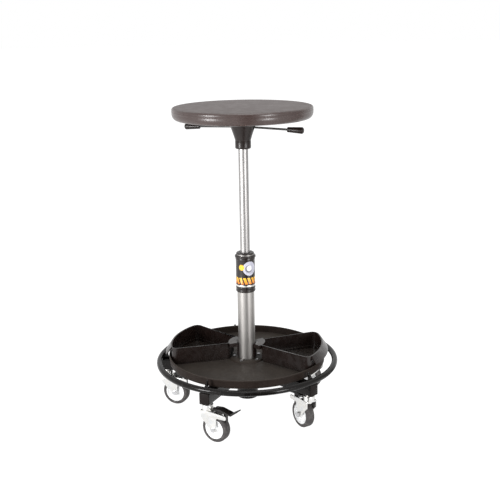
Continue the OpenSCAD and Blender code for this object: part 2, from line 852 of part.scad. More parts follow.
module leg_end_caps() {
    plug_w = leg_w - 2 * leg_wall - 2 * fit_gap;
    plug_z0 = leg_foot_z + leg_wall + fit_gap;
    plug_z1 = leg_top_z - leg_wall - fit_gap;
    color("#202322") at_legs() difference() {
        union() {
            block(leg_tube_r, leg_end_r, leg_w, leg_foot_z, leg_top_z);
            block(leg_tube_r - end_plug_l, leg_tube_r + end_cap_t / 2, plug_w, plug_z0, plug_z1);
        }
        translate([swivel_r, 0, 0]) post(plug_bore_d, leg_foot_z - over, plug_z1 + over);
    }
}

module at_swivels() {
    at_legs() translate([swivel_r, 0, 0]) children();
}

module stem_sleeves() {
    color("#8d8f92") at_swivels()
        pipe(stem_sleeve_d, sleeve_bore_d, leg_foot_z, stem_top_z);
}

module caster_stems() {
    color("#b9bcbf") at_swivels() {
        post(stem_d, crown_z - free_gap - rivet_h / 2, stem_top_z);
        post(flange_d, leg_foot_z - flange_t, leg_foot_z);
        post(rivet_d, crown_z - free_gap - rivet_h, crown_z - free_gap);
    }
}

// Foot ring, tray and bins

module ring_solid() {
    rotate_extrude() translate([ring_r, ring_z]) circle(d = ring_tube_d, $fn = 48);
}

module foot_ring() {
    color("#171616") ring_solid();
}

module ring_brackets() {
    foot_x = min(ring_r, leg_end_r) - bracket_in;
    tip_x = (tray_rim_r + ring_in_r) / 2;
    tip_z = leg_top_z + bracket_tip_h;
    outline = [
        [foot_x, leg_top_z],
        [ring_r, leg_top_z],
        [ring_r, ring_z],
        [ring_in_r + ring_tube_d / 4, ring_z + ring_tube_d / 3],
        [tip_x + bracket_t / 2, tip_z],
        [tip_x - bracket_t / 4, tip_z],
        [foot_x + bracket_t, leg_top_z + bracket_tip_h / 3]
    ];
    color("#171616") difference() {
        at_legs() side_plate(outline, -bracket_t / 2, bracket_t / 2);
        ring_solid();
    }
}

module tool_tray() {
    corner_z = tray_foot_z + tray_corner_r;
    inner_corner = tray_corner_r - tray_t;
    lean_r = tray_wall_r - tray_corner_r;
    bead_r = tray_rim_r - bead_t;
    bead_z = tray_rim_z - bead_t;
    hole_r = tray_hole_d / 2;
    boss_r = boss_d / 2;
    // The foot round the column is hollow, with a post round each screw
    outline = concat(
        [
            [hole_r, leg_top_z],
            [hole_r + tray_t, leg_top_z],
            [hole_r + tray_t, boss_top_z - tray_t],
            [boss_r - tray_t, boss_top_z - tray_t],
            [boss_r - tray_t, leg_top_z],
            [boss_r, leg_top_z],
            [boss_r, tray_foot_z]
        ],
        arc(lean_r, corner_z, tray_corner_r, tray_corner_r, -90, 0, corner_steps),
        [[tray_rim_r - bead_t / 3, bead_z], [tray_rim_r, bead_z + bead_t / 4]],
        arc(tray_rim_r - bead_t / 2, tray_rim_z - bead_t / 2, bead_t / 2, bead_t / 2, 0, 180, 8),
        [[bead_r, bead_z], [tray_rim_r - bead_t, bead_z - bead_t / 2]],
        arc(lean_r, corner_z, inner_corner, inner_corner, 0, -90, corner_steps),
        [
            [boss_r + boss_h, tray_floor_z],
            [boss_r, boss_top_z],
            [hole_r, boss_top_z]
        ]
    );
    color("#262323") difference() {
        union() {
            rotate_extrude($fn = 144) polygon(outline);
            at_legs() translate([tray_screw_r, 0, 0])
                post(tray_screw_d + 2 * tray_t, leg_top_z, boss_top_z - tray_t / 2);
        }
        at_legs() translate([tray_screw_r, 0, 0])
            post(tray_screw_d + 2 * fit_gap, leg_top_z - over, boss_top_z + over);
    }
}

module tray_screws() {
    color("#57585b") at_legs() translate([tray_screw_r, 0, 0]) {
        post(tray_screw_d, boss_top_z - tray_screw_l, boss_top_z + tray_screw_head_h / 2);
        post(tray_screw_head_d, boss_top_z, boss_top_z + tray_screw_head_h);
    }
}

// Plan angle from the middle of a bin to where its outer corners start
bin_outer_a = bin_angle / 2 - asin(bin_corner_r / (bin_body_r - bin_corner_r));

// Plan outline of a bin about the X axis, drawn in on all sides by inset.
// Its four corner arcs keep their centres, so the wall is even all round.
function bin_outline(inset) =
    let (
        half = bin_angle / 2,
        outer_c = bin_body_r - bin_corner_r,
        inner_c = bin_in_r + bin_nook_r,
        outer_a = bin_outer_a,
        inner_a = half - asin(bin_nook_r / inner_c),
        r1 = bin_body_r - inset,
        r0 = bin_in_r + inset,
        c1 = bin_corner_r - inset,
        c0 = bin_nook_r - inset
    )
    concat(
        arc(0, 0, r1, r1, -outer_a, outer_a, 16),
        arc(outer_c * cos(outer_a), outer_c * sin(outer_a), c1, c1, outer_a + 12, half + 90, 6),
        arc(inner_c * cos(inner_a), inner_c * sin(inner_a), c0, c0, half + 90, inner_a + 180, 5),
        arc(0, 0, r0, r0, inner_a - 3, 3 - inner_a, 6),
        arc(inner_c * cos(inner_a), -inner_c * sin(inner_a), c0, c0, 180 - inner_a, 270 - half, 5),
        arc(outer_c * cos(outer_a), -outer_c * sin(outer_a), c1, c1, -half - 90, -outer_a - 12, 6)
    );

module bin_layer(inset, z0, z1) {
    translate([0, 0, z0]) linear_extrude(z1 - z0) polygon(bin_outline(inset));
}

// A solid turned about the column's axis, over an angle about the X axis
module turned_part(angle, outline) {
    rotate([0, 0, -angle / 2]) rotate_extrude(angle = angle) polygon(outline);
}

module bin() {
    foot_top_z = bin_foot_z + bin_foot_h;
    // The nose runs into the inner wall, and its front wall follows the column
    nose_out_r = bin_in_r + bin_t;
    nose_z = bin_top_z - nose_h;
    nose = concat(
        [[nose_out_r, nose_z], [nose_out_r, bin_top_z]],
        arc(nose_in_r + nose_r, bin_top_z - nose_r, nose_r, nose_r, 90, 180, nose_steps),
        [
            [nose_in_r, boss_top_z + bin_t],
            [nose_in_r + bin_t, boss_top_z + bin_t],
            [nose_in_r + bin_t, nose_z]
        ]
    );
    skirt = [
        [bin_body_r - bin_t / 2, bin_top_z - 2 * bin_t],
        [bin_body_r - bin_t / 2, bin_top_z],
        [bin_body_r + bin_t / 2, bin_top_z],
        [skirt_r, skirt_z],
        [skirt_r - bin_t, skirt_z],
        [bin_body_r, bin_top_z - 2 * bin_t]
    ];
    difference() {
        union() {
            bin_layer(bin_foot_in, bin_foot_z, foot_top_z);
            bin_layer(0, foot_top_z, bin_top_z);
        }
        bin_layer(bin_foot_in + bin_t, bin_foot_z + bin_t, foot_top_z + bin_t + over);
        bin_layer(bin_t, foot_top_z + bin_t, bin_top_z + over);
    }
    turned_part(2 * bin_outer_a, skirt);
    difference() {
        turned_part(nose_angle, nose);
        bin_layer(bin_t / 2, nose_z - over, bin_top_z + over);
    }
}

module left_bin() {
    color("#1d1b1b") spoke(left_bin_angle) bin();
}

module right_bin() {
    color("#1d1b1b") spoke(right_bin_angle) bin();
}

// Casters: in the caster's own frame the swivel axis is Z, +X is the side that the
// wheel trails to, and the wheel's axle runs along Y

module at_caster(i) {
    spoke(leg_plan(i)) translate([swivel_r, 0, 0])
        rotate([0, 0, trail_angles[i - 1] - leg_plan(i)]) children();
}

module at_both_sides() {
    for (side = [0, 1]) mirror([0, side, 0]) children();
}

module caster_fork(i) {
    // The cheek narrows from the crown to the boss round the axle, and a broad band
    // of it runs back past the tread to carry the pedal
    pin_half = fork_w / 2 + pin_end;
    cheek = [
        [crown_front_x, crown_top_z],
        [crown_front_x, crown_z - cheek_h],
        [trail - axle_boss_r * cos(20), wheel_r - axle_boss_r * sin(20)],
        [trail + axle_boss_r * cos(20), wheel_r + axle_boss_r * sin(20)],
        [trail + axle_boss_r + fork_t, cheek_back_z - fork_t],
        [trail + axle_boss_r + 2 * fork_t, cheek_back_z],
        [cheek_back_x - fork_t, cheek_back_z],
        [cheek_back_x, cheek_back_z + fork_t],
        [cheek_back_x, crown_top_z - cheek_fall - fork_t],
        [cheek_back_x - fork_t, crown_top_z - cheek_fall],
        [crown_back_x, crown_top_z]
    ];
    color("#b4b8bc") at_caster(i) difference() {
        union() {
            block(crown_front_x, crown_back_x, fork_w, crown_z, crown_top_z);
            post(race_d, crown_z + crown_t / 2, race_top_z);
            at_both_sides() {
                side_plate(cheek, cheek_y, cheek_y + fork_t);
                across(2 * axle_boss_r, cheek_y, cheek_y + fork_t, trail, wheel_r);
            }
            across(pivot_d, -pin_half, pin_half, pivot_x, pivot_z);
        }
        post(stem_d + 2 * run_gap, crown_z - over, race_top_z + over);
        across(wheel_axle_d + 2 * fit_gap, -fork_w, fork_w, trail, wheel_r);
    }
}

module axle_bolt(i) {
    out_y = cheek_y + fork_t;
    color("#9a9c9f") at_caster(i) {
        across(wheel_axle_d, -out_y - nut_h, out_y + nut_h / 2, trail, wheel_r);
        across(nut_d, out_y, out_y + nut_h, trail, wheel_r, $fn = 6);
        difference() {
            across(nut_d, -out_y - nut_h + lever_side, -out_y, trail, wheel_r, $fn = 6);
            across(wheel_axle_d, -out_y - nut_h - over, -out_y + over, trail, wheel_r);
        }
    }
}

// A solid of revolution about a wheel's axle, from points of radius and width
module wheel_turned(outline) {
    translate([trail, 0, wheel_r]) rotate([90, 0, 0]) rotate_extrude() polygon(outline);
}

module wheel_rim(i) {
    half = tyre_w / 2 - rim_inset;
    bore_r = wheel_axle_d / 2 + run_gap;
    hub_r = wheel_hub_d / 2;
    web_r = rim_r - tyre_t / 2;
    color("#d9dadb") at_caster(i) wheel_turned([
        [bore_r, -wheel_hub_w / 2],
        [hub_r - wheel_slope, -wheel_hub_w / 2],
        [hub_r, dish - half],
        [web_r, dish - half],
        [web_r + wheel_slope, -half],
        [rim_r, -half],
        [rim_r, half],
        [web_r + wheel_slope, half],
        [web_r, half - dish],
        [hub_r, half - dish],
        [hub_r - wheel_slope, wheel_hub_w / 2],
        [bore_r, wheel_hub_w / 2]
    ]);
}

module wheel_tyre(i) {
    half = tyre_w / 2;
    color("#2d2b2c") at_caster(i) wheel_turned(concat(
        [[rim_r, -half], [wheel_r - shoulder_r, -half]],
        arc(wheel_r - shoulder_r, shoulder_r - half, shoulder_r, shoulder_r, -75, 0, 5),
        arc(wheel_r - shoulder_r, half - shoulder_r, shoulder_r, shoulder_r, 0, 75, 5),
        [[wheel_r - shoulder_r, half], [rim_r, half]]
    ));
}

// A plate across the pedal
module pedal_plate(outline, width) {
    side_plate(outline, -width / 2, width / 2);
}

module brake_pedal(i) {
    // The plate arches over the tread behind the crown, dips and turns up as a tail
    front = [crown_back_x + pedal_gap, crown_top_z + plate_rise];
    arch = [pivot_x, crown_top_z + arch_rise];
    dip = [dip_x, pivot_z + dip_rise];
    tail = [tail_x, pivot_z + tail_rise];
    lean = pedal_t / 3;
    dip_top = [dip[0] - pedal_t - lean, dip[1] + pedal_t + lean];
    plate = [
        front,
        [front[0], front[1] - pedal_t],
        [arch[0], arch[1] - plate_t_mid],
        dip,
        dip_top,
        arch
    ];
    tail_plate = [
        dip_top,
        [dip_top[0], dip[1] + lean],
        dip,
        tail,
        [tail[0] - 2 * lean, tail[1] + pedal_t - lean]
    ];
    // The shoe's underside follows the tread as it lies with the pedal fully pressed
    off = [trail - pivot_x, wheel_r - pivot_z];
    tread = [
        pivot_x + off[0] * cos(press_angle) - off[1] * sin(press_angle),
        pivot_z + off[0] * sin(press_angle) + off[1] * cos(press_angle)
    ];
    shoe_r = wheel_r + shoe_gap;
    shoe_steps = 4;
    shoe_end = shoe_start + shoe_arc;
    shoe = concat(
        [
            [tread[0] + shoe_r * cos(shoe_end), dip[1] + 2 * pedal_t],
            [tread[0] + shoe_r * cos(shoe_start), dip[1] + 2 * pedal_t]
        ],
        [
            for (k = [0:shoe_steps])
                let (turn = shoe_start + shoe_arc * k / shoe_steps)
                [tread[0] + shoe_r * cos(turn), tread[1] + shoe_r * sin(turn)]
        ]
    );
    ear_r = pivot_d / 2 + pivot_rim;
    ear = [
        [pivot_x - ear_r, pivot_z],
        [pivot_x + ear_r, pivot_z],
        [pivot_x + 2 * ear_r, dip[1] + pedal_t],
        [pivot_x, arch[1] - pedal_t],
        [pivot_x - 2 * ear_r, front[1] - pedal_t + lean]
    ];
    color("#1a1918") at_caster(i) difference() {
        union() {
            pedal_plate(plate, tail_w);
            pedal_plate(tail_plate, tail_w);
            pedal_plate(shoe, tail_w / 2);
            at_both_sides() {
                side_plate(ear, ear_in_y, tail_w / 2);
                across(2 * ear_r, ear_in_y, ear_out_y, pivot_x, pivot_z);
            }
        }
        across(pivot_d + 2 * run_gap, -fork_w, fork_w, pivot_x, pivot_z);
    }
}

seat_cushion();
seat_board();
seat_plate();
seat_screws();
tilt_axle();
socket_housing();
cone_cover();
lever_pins();
height_lever();
height_grip();
tilt_lever();
tilt_grip();
gas_cylinder();
release_pin();
piston_rod();
rod_clip();
thrust_bearing();
column_tube();
guide_bush();
upper_collar();
column_sleeve();
trim_ring();
lower_collar();
base_hub();
base_legs();
leg_end_caps();
stem_sleeves();
caster_stems();
foot_ring();
ring_brackets();
tool_tray();
tray_screws();
left_bin();
right_bin();
caster_fork(1);  // caster_fork_1
caster_fork(2);  // caster_fork_2
caster_fork(3);  // caster_fork_3
caster_fork(4);  // caster_fork_4
caster_fork(5);  // caster_fork_5
axle_bolt(1);  // axle_bolt_1
axle_bolt(2);  // axle_bolt_2
axle_bolt(3);  // axle_bolt_3
axle_bolt(4);  // axle_bolt_4
axle_bolt(5);  // axle_bolt_5
wheel_rim(1);  // wheel_rim_1
wheel_rim(2);  // wheel_rim_2
wheel_rim(3);  // wheel_rim_3
wheel_rim(4);  // wheel_rim_4
wheel_rim(5);  // wheel_rim_5
wheel_tyre(1);  // wheel_tyre_1
wheel_tyre(2);  // wheel_tyre_2
wheel_tyre(3);  // wheel_tyre_3
wheel_tyre(4);  // wheel_tyre_4
wheel_tyre(5);  // wheel_tyre_5
brake_pedal(1);  // brake_pedal_1
brake_pedal(2);  // brake_pedal_2
brake_pedal(3);  // brake_pedal_3
brake_pedal(4);  // brake_pedal_4
brake_pedal(5);  // brake_pedal_5
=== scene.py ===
"""Looks of a rolling workshop stool: moulded seat, gas lift, tool tray, bins and braked casters."""

import json
import math

import bmesh
import bpy
from mathutils import Matrix, Vector

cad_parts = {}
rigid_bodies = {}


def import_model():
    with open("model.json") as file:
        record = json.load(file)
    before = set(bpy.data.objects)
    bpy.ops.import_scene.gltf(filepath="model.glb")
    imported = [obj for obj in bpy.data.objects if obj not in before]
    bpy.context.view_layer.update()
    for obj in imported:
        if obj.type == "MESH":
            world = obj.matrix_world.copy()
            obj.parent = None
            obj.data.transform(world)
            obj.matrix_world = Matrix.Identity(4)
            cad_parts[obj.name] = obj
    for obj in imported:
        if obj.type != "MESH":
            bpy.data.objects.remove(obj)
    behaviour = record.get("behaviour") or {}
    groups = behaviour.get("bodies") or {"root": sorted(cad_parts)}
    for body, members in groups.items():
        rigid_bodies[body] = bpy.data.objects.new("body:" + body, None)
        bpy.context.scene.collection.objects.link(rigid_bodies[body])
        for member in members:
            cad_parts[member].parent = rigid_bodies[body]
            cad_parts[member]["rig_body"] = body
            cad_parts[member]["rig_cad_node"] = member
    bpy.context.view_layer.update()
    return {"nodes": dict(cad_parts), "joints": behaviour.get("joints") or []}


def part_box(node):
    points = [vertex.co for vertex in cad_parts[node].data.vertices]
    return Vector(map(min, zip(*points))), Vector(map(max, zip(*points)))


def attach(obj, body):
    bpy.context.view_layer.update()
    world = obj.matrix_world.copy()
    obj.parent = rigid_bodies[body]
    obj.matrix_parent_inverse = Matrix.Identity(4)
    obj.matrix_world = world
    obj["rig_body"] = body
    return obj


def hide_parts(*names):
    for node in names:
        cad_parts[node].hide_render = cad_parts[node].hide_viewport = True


bl_info = {
    "name": "Rolling workshop stool",
    "version": (1, 0, 0),
    "blender": (4, 5, 0),
    "location": "View3D > Sidebar > Stool",
    "description": "Models and finishes the visible pieces of a rolling workshop stool",
    "category": "Object",
}

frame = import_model()
nodes = frame["nodes"]
joints = {joint["name"]: joint for joint in frame["joints"]}

MM = 0.001
CASTER_NUMBERS = range(1, 6)
# Surfaces that meet at less than this angle are shaded as one
SMOOTH_ANGLE = math.radians(35)
# Faces that meet at less than this angle are one face
FLAT_ANGLE = math.radians(0.3)
# Points closer than this are one point
WELD = 0.01 * MM
# Noise seldom leaves this range
NOISE_RANGE = (0.3, 0.7)
# The column slides into everything that stands round it
COLUMN_BORE = 25.05 * MM
LEVER_Z = joints["height_lever_lift"]["pos_m"][2]


def low(solid):
    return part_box(solid)[0]


def high(solid):
    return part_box(solid)[1]


def extent(solid):
    """Top, foot and outer radius of a turned CAD solid."""
    return high(solid).z, low(solid).z, high(solid).x


def lever_direction():
    """Direction in plan that the height lever points in."""
    axis = Vector(joints["height_lever_lift"]["axis"])
    return Vector((-axis.y, axis.x, 0))


def lever_place(turn=0):
    """Places what is modelled along +X in the frame of the levers."""
    along = lever_direction()
    return Matrix.Rotation(math.atan2(along.y, along.x) + turn, 4, "Z")


def swivel_point(number):
    return Vector(joints[f"caster_swivel_{number}"]["pos_m"])


def leg_place(number):
    """Places what is modelled along +X on a leg of the base."""
    swivel = swivel_point(number)
    return Matrix.Rotation(math.atan2(swivel.y, swivel.x), 4, "Z")


def wheel_place(number):
    """Places what is modelled round the origin on a wheel's axle; X points away from the swivel."""
    axle = Vector(joints[f"wheel_spin_{number}"]["pos_m"])
    trail = axle - swivel_point(number)
    return Matrix.Translation(axle) @ Matrix.Rotation(math.atan2(trail.y, trail.x), 4, "Z")


class StoolSizes(bpy.types.PropertyGroup):
    """Sizes of the details that the CAD solids leave out."""

    steel_edge: bpy.props.FloatProperty(
        name="Steel edge", description="Rounding of the forks' edges", default=0.5 * MM, unit="LENGTH"
    )
    moulded_edge: bpy.props.FloatProperty(
        name="Moulded edge", description="Rounding of bin and pedal edges", default=0.6 * MM, unit="LENGTH"
    )
    parting_line: bpy.props.FloatProperty(
        name="Parting line", description="Height of the mould's parting line round the seat",
        default=0.35 * MM, unit="LENGTH"
    )
    camera_lens: bpy.props.FloatProperty(
        name="Lens", description="Focal length of the camera on a 36 mm sensor", default=65.53
    )
    label_stripes: bpy.props.IntProperty(
        name="Label stripes", description="Slanted stripes on each half of the sleeve", default=7
    )


def colour_property(name, description, default):
    return bpy.props.FloatVectorProperty(
        name=name, description=description, default=default, subtype="COLOR", size=3, min=0, max=1
    )


class StoolColours(bpy.types.PropertyGroup):
    """Colours of the stool's finishes, linear."""

    foam: colour_property("Foam", "Foam of the seat", (0.050, 0.033, 0.030))
    moulding: colour_property("Mouldings", "Cover, collars and grips", (0.012, 0.0075, 0.0065))
    bin: colour_property("Bins", "Plastic of the bins", (0.010, 0.0058, 0.0048))
    tray: colour_property("Tray", "Plastic of the tray", (0.019, 0.0130, 0.0105))
    paint: colour_property("Paint", "Base and foot ring", (0.004, 0.0032, 0.003))
    end_cap: colour_property("End caps", "Plastic of the end caps", (0.008, 0.0055, 0.005))
    pedal: colour_property("Pedals", "Plastic of the brake pedals", (0.010, 0.0085, 0.008))
    chrome: colour_property("Chrome", "Polished cylinder and rod", (0.36, 0.35, 0.345))
    drawn_steel: colour_property("Drawn steel", "Satin steel of the column", (0.40, 0.385, 0.37))
    zinc: colour_property("Zinc", "Plated steel of the casters", (0.84, 0.84, 0.84))
    wheel: colour_property("Wheels", "Pale plastic of the wheels", (0.79, 0.795, 0.80))
    tyre: colour_property("Tyres", "Rubber of the tyres", (0.035, 0.031, 0.031))
    trim: colour_property("Trim", "Ring under the sleeve", (0.72, 0.71, 0.68))
    label_yellow: colour_property("Label yellow", "Yellow print of the sleeve", (0.90, 0.52, 0.04))
    label_orange: colour_property("Label orange", "Foot of the sleeve's stripes", (0.75, 0.20, 0.02))
    label_grey: colour_property("Label grey", "Pale print of the sleeve", (0.48, 0.48, 0.56))


def sizes():
    return bpy.context.scene.stool_sizes


def colours():
    return bpy.context.scene.stool_colours


# Modelling


def deselect():
    bpy.ops.object.select_all(action="DESELECT")


def only(piece):
    """Makes a piece the only one selected, and the active one."""
    deselect()
    piece.select_set(True)
    bpy.context.view_layer.objects.active = piece


def open_up(piece):
    """Opens a piece, alone, in edit mode."""
    only(piece)
    bpy.ops.object.mode_set(mode="EDIT")


def close_up(*, place=False):
    """Leaves edit mode, and moves the piece's place into its mesh if asked."""
    bpy.ops.object.mode_set(mode="OBJECT")
    if place:
        bpy.ops.object.transform_apply(location=True, rotation=True, scale=True)


def extrude(step):
    """In edit mode, pulls what is selected along a step."""
    bpy.ops.mesh.extrude_region_move(TRANSFORM_OT_translate={"value": step})


def face_out():
    """In edit mode, selects everything and turns the faces outward."""
    bpy.ops.mesh.select_all(action="SELECT")
    bpy.ops.mesh.normals_make_consistent(inside=False)


def newest(name):
    """Names the object that was just added."""
    made = bpy.context.object
    made.name = name
    return made


def added(name):
    """Names the piece that was just added, and moves its place into its mesh."""
    bpy.ops.object.transform_apply(location=True, rotation=True, scale=True)
    return newest(name)


def smoothed(piece, angle=SMOOTH_ANGLE):
    only(piece)
    bpy.ops.object.shade_smooth_by_angle(angle=angle)
    return piece


def arc(across, up, radius, start, end, steps=6):
    """Points of an arc in the plane of an outline, its angles in degrees."""
    turns = [math.radians(start + (end - start) * i / steps) for i in range(steps + 1)]
    return [(across + radius * math.cos(turn), up + radius * math.sin(turn)) for turn in turns]


def drawn(name, points, closed):
    """A line through points, drawn by extruding one vertex, as a new object in edit mode."""
    deselect()
    bpy.ops.mesh.primitive_plane_add(size=MM, location=points[0])
    piece = newest(name)
    piece.data.name = name
    bpy.ops.object.mode_set(mode="EDIT")
    bpy.context.tool_settings.mesh_select_mode = (True, False, False)
    bpy.ops.mesh.merge(type="CENTER")
    for here, there in zip(points, points[1:]):
        extrude(Vector(there) - Vector(here))
    if closed:
        bpy.ops.mesh.select_all(action="DESELECT")
        mesh = bmesh.from_edit_mesh(piece.data)
        for vertex in mesh.verts:
            vertex.select = len(vertex.link_edges) < 2
        bmesh.update_edit_mesh(piece.data)
        bpy.ops.mesh.edge_face_add()
    bpy.ops.mesh.select_all(action="SELECT")
    return piece


def turned(name, outline, closed=True, steps=96):
    """A piece turned about Z from an outline of radius and height."""
    piece = drawn(name, [(radius, 0, height) for radius, height in outline], closed)
    bpy.ops.mesh.spin(steps=steps, angle=math.tau, center=(0, 0, 0), axis=(0, 0, 1))
    bpy.ops.mesh.select_all(action="SELECT")
    bpy.ops.mesh.remove_doubles(threshold=WELD)
    face_out()
    close_up(place=True)
    return piece


def plate(name, outline, side_from, side_to):
    """A plate cut to an outline of X and Z, between two places along Y."""
    piece = drawn(name, [(x, side_from, z) for x, z in outline], True)
    bpy.ops.mesh.edge_face_add()
    extrude((0, side_to - side_from, 0))
    face_out()
    close_up(place=True)
    return piece


def bar(name, lowest, highest):
    """A square bar between two corners."""
    lowest, highest = Vector(lowest), Vector(highest)
    deselect()
    bpy.ops.mesh.primitive_cube_add(size=1, location=(lowest + highest) / 2, scale=highest - lowest)
    return added(name)


def rod(name, radius, start, end, sides=48):
    """A round rod between two points."""
    start, end = Vector(start), Vector(end)
    turn = (end - start).to_track_quat("Z", "Y").to_euler()
    deselect()
    bpy.ops.mesh.primitive_cylinder_add(
        vertices=sides, radius=radius, depth=(end - start).length, location=(start + end) / 2, rotation=turn
    )
    return added(name)


def select_edges(piece, test, longer_than=0):
    """In edit mode, selects the edges whose two ends pass a test."""
    bpy.context.tool_settings.mesh_select_mode = (False, True, False)
    bpy.ops.mesh.select_all(action="DESELECT")
    mesh = bmesh.from_edit_mesh(piece.data)
    for edge in mesh.edges:
        edge.select_set(edge.calc_length() >= longer_than and all(test(end.co) for end in edge.verts))
    bmesh.update_edit_mesh(piece.data)


def round_edges(piece, test, radius, segments, longer_than=0):
    """Bevels the edges that pass a test."""
    open_up(piece)
    select_edges(piece, test, longer_than)
    bpy.ops.mesh.bevel(offset=radius, segments=segments)
    close_up()


def merged(piece, operation, others):
    """Unites a piece with others, or cuts them from it, and takes the others away."""
    for other in others:
        only(piece)
        change = piece.modifiers.new("Merge", "BOOLEAN")
        change.operation = operation
        change.solver = "EXACT"
        change.object = other
        bpy.ops.object.modifier_apply(modifier=change.name)
        bpy.data.objects.remove(other)
    return piece


def softened(piece, radius, segments=2, sharper_than=40):
    """Rounds every edge sharper than an angle in degrees, and shades the rest smooth."""
    only(piece)
    change = piece.modifiers.new("Edge", "BEVEL")
    change.width = radius
    change.segments = segments
    change.limit_method = "ANGLE"
    change.angle_limit = math.radians(sharper_than)
    bpy.ops.object.modifier_apply(modifier=change.name)
    return smoothed(piece)


def copied_solid(name, solid):
    """A copy of a CAD solid, its loose triangles merged and its flat faces made whole."""
    piece = nodes[solid].copy()
    piece.data = nodes[solid].data.copy()
    piece.name = name
    piece.data.name = name
    piece.data.materials.clear()
    piece.parent = None
    piece.hide_render = False
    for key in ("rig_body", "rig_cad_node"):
        del piece[key]
    bpy.context.scene.collection.objects.link(piece)
    open_up(piece)
    bpy.ops.mesh.select_all(action="SELECT")
    bpy.ops.mesh.customdata_custom_splitnormals_clear()
    bpy.ops.mesh.remove_doubles(threshold=WELD)
    bpy.ops.mesh.dissolve_limited(angle_limit=FLAT_ANGLE)
    face_out()
    close_up()
    return piece


def placed_copy(piece, name, place):
    """A copy of a piece with a mesh of its own, put in place."""
    copy = piece.copy()
    copy.data = piece.data.copy()
    copy.name = name
    copy.data.name = name
    copy.data.transform(place)
    bpy.context.scene.collection.objects.link(copy)
    return copy


def on_legs(piece, name):
    """A copy of a piece on each leg; the piece itself is taken away."""
    copies = [placed_copy(piece, f"{name}_{number}", leg_place(number)) for number in CASTER_NUMBERS]
    bpy.data.objects.remove(piece)
    return copies


def put(piece, place):
    piece.data.transform(place)
    return piece


def hand_over(piece, body, slot, finish, *replaced):
    """Gives a finished piece its finish, the body it rides on and the nodes it stands for."""
    piece.data.materials.clear()
    piece.data.materials.append(finish)
    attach(piece, body)
    if replaced:
        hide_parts(*replaced)


def refinish(finish, *solids):
    """Gives CAD solids that keep their shape a better material."""
    for solid in solids:
        mesh = nodes[solid].data
        if not mesh.materials:
            mesh.materials.append(finish)
        for index in range(len(mesh.materials)):
            mesh.materials[index] = finish


# Finishes


def new_finish(name, colour, metallic, roughness, specular=0.5):
    """A material whose one shader has a plain colour to start from."""
    finish = bpy.data.materials.new(name)
    finish.use_nodes = True
    shader = finish.node_tree.nodes["Principled BSDF"]
    shader.inputs["Base Color"].default_value = (*colour, 1)
    shader.inputs["Metallic"].default_value = metallic
    shader.inputs["Roughness"].default_value = roughness
    shader.inputs["Specular IOR Level"].default_value = specular
    return finish, finish.node_tree, shader


def node(tree, kind, options=None, **values):
    """Adds a node to a material; an underscore in a value's name stands for a space."""
    made = tree.nodes.new(kind)
    for option, setting in (options or {}).items():
        setattr(made, option, setting)
    for socket, value in values.items():
        made.inputs[socket.replace("_", " ")].default_value = value
    return made


def maths(tree, operation, first, second=None):
    made = node(tree, "ShaderNodeMath", {"operation": operation})
    for index, value in enumerate((first, second)):
        if isinstance(value, bpy.types.NodeSocket):
            tree.links.new(value, made.inputs[index])
        elif value is not None:
            made.inputs[index].default_value = value
    return made.outputs[0]


def surface_place(tree, stretch=(1, 1, 1)):
    """Object coordinates, stretched along the axes."""
    place = node(tree, "ShaderNodeTexCoord")
    mapping = node(tree, "ShaderNodeMapping", Scale=stretch)
    tree.links.new(place.outputs["Object"], mapping.inputs["Vector"])
    return mapping.outputs["Vector"]


def noise(tree, scale, detail=3, stretch=(1, 1, 1)):
    made = node(tree, "ShaderNodeTexNoise", Scale=scale, Detail=detail)
    tree.links.new(surface_place(tree, stretch), made.inputs["Vector"])
    return made.outputs["Fac"]


def cells(tree, scale):
    made = node(tree, "ShaderNodeTexVoronoi", Scale=scale)
    tree.links.new(surface_place(tree), made.inputs["Vector"])
    return made.outputs["Distance"]


def spread(tree, value, from_low, from_high, to_low, to_high):
    """Maps one range of a value to another."""
    made = node(tree, "ShaderNodeMapRange", From_Min=from_low, From_Max=from_high,
                To_Min=to_low, To_Max=to_high)
    tree.links.new(value, made.inputs["Value"])
    return made.outputs["Result"]


def cloudy(tree, scale, detail, lowest, highest):
    """Soft patches between two values."""
    return spread(tree, noise(tree, scale, detail), *NOISE_RANGE, lowest, highest)


def uneven_gloss(tree, shader, scale, detail, smoothest, roughest):
    tree.links.new(cloudy(tree, scale, detail, smoothest, roughest), shader.inputs["Roughness"])


def blend(tree, amount, first, second):
    """Mixes two colours, each a colour or a socket, by an amount."""
    made = node(tree, "ShaderNodeMix", {"data_type": "RGBA"})
    tree.links.new(amount, made.inputs["Factor"])
    for socket, colour in (("A", first), ("B", second)):
        target = [entry for entry in made.inputs if entry.name == socket and entry.type == "RGBA"][0]
        if isinstance(colour, bpy.types.NodeSocket):
            tree.links.new(colour, target)
        else:
            target.default_value = (*colour[:3], 1)
    return [entry for entry in made.outputs if entry.type == "RGBA"][0]


def scaled(colour, share):
    return tuple(channel * share for channel in colour)


def relief(tree, shader, *heights):
    """Bumps a surface by a chain of (height socket, strength, depth)."""
    before = None
    for height, strength, depth in heights:
        made = node(tree, "ShaderNodeBump", Strength=strength, Distance=depth)
        tree.links.new(height, made.inputs["Height"])
        if before:
            tree.links.new(before, made.inputs["Normal"])
        before = made.outputs["Normal"]
    tree.links.new(before, shader.inputs["Normal"])


def paint_over(tree, shader, amount, first, second):
    """Blends two colours into the base colour."""
    tree.links.new(blend(tree, amount, first, second), shader.inputs["Base Color"])


def shade(tree, shader, colour, cloud, spread_share):
    """Varies a colour a little over the surface."""
    paint_over(tree, shader, cloud, scaled(colour, 1 - spread_share), scaled(colour, 1 + spread_share))


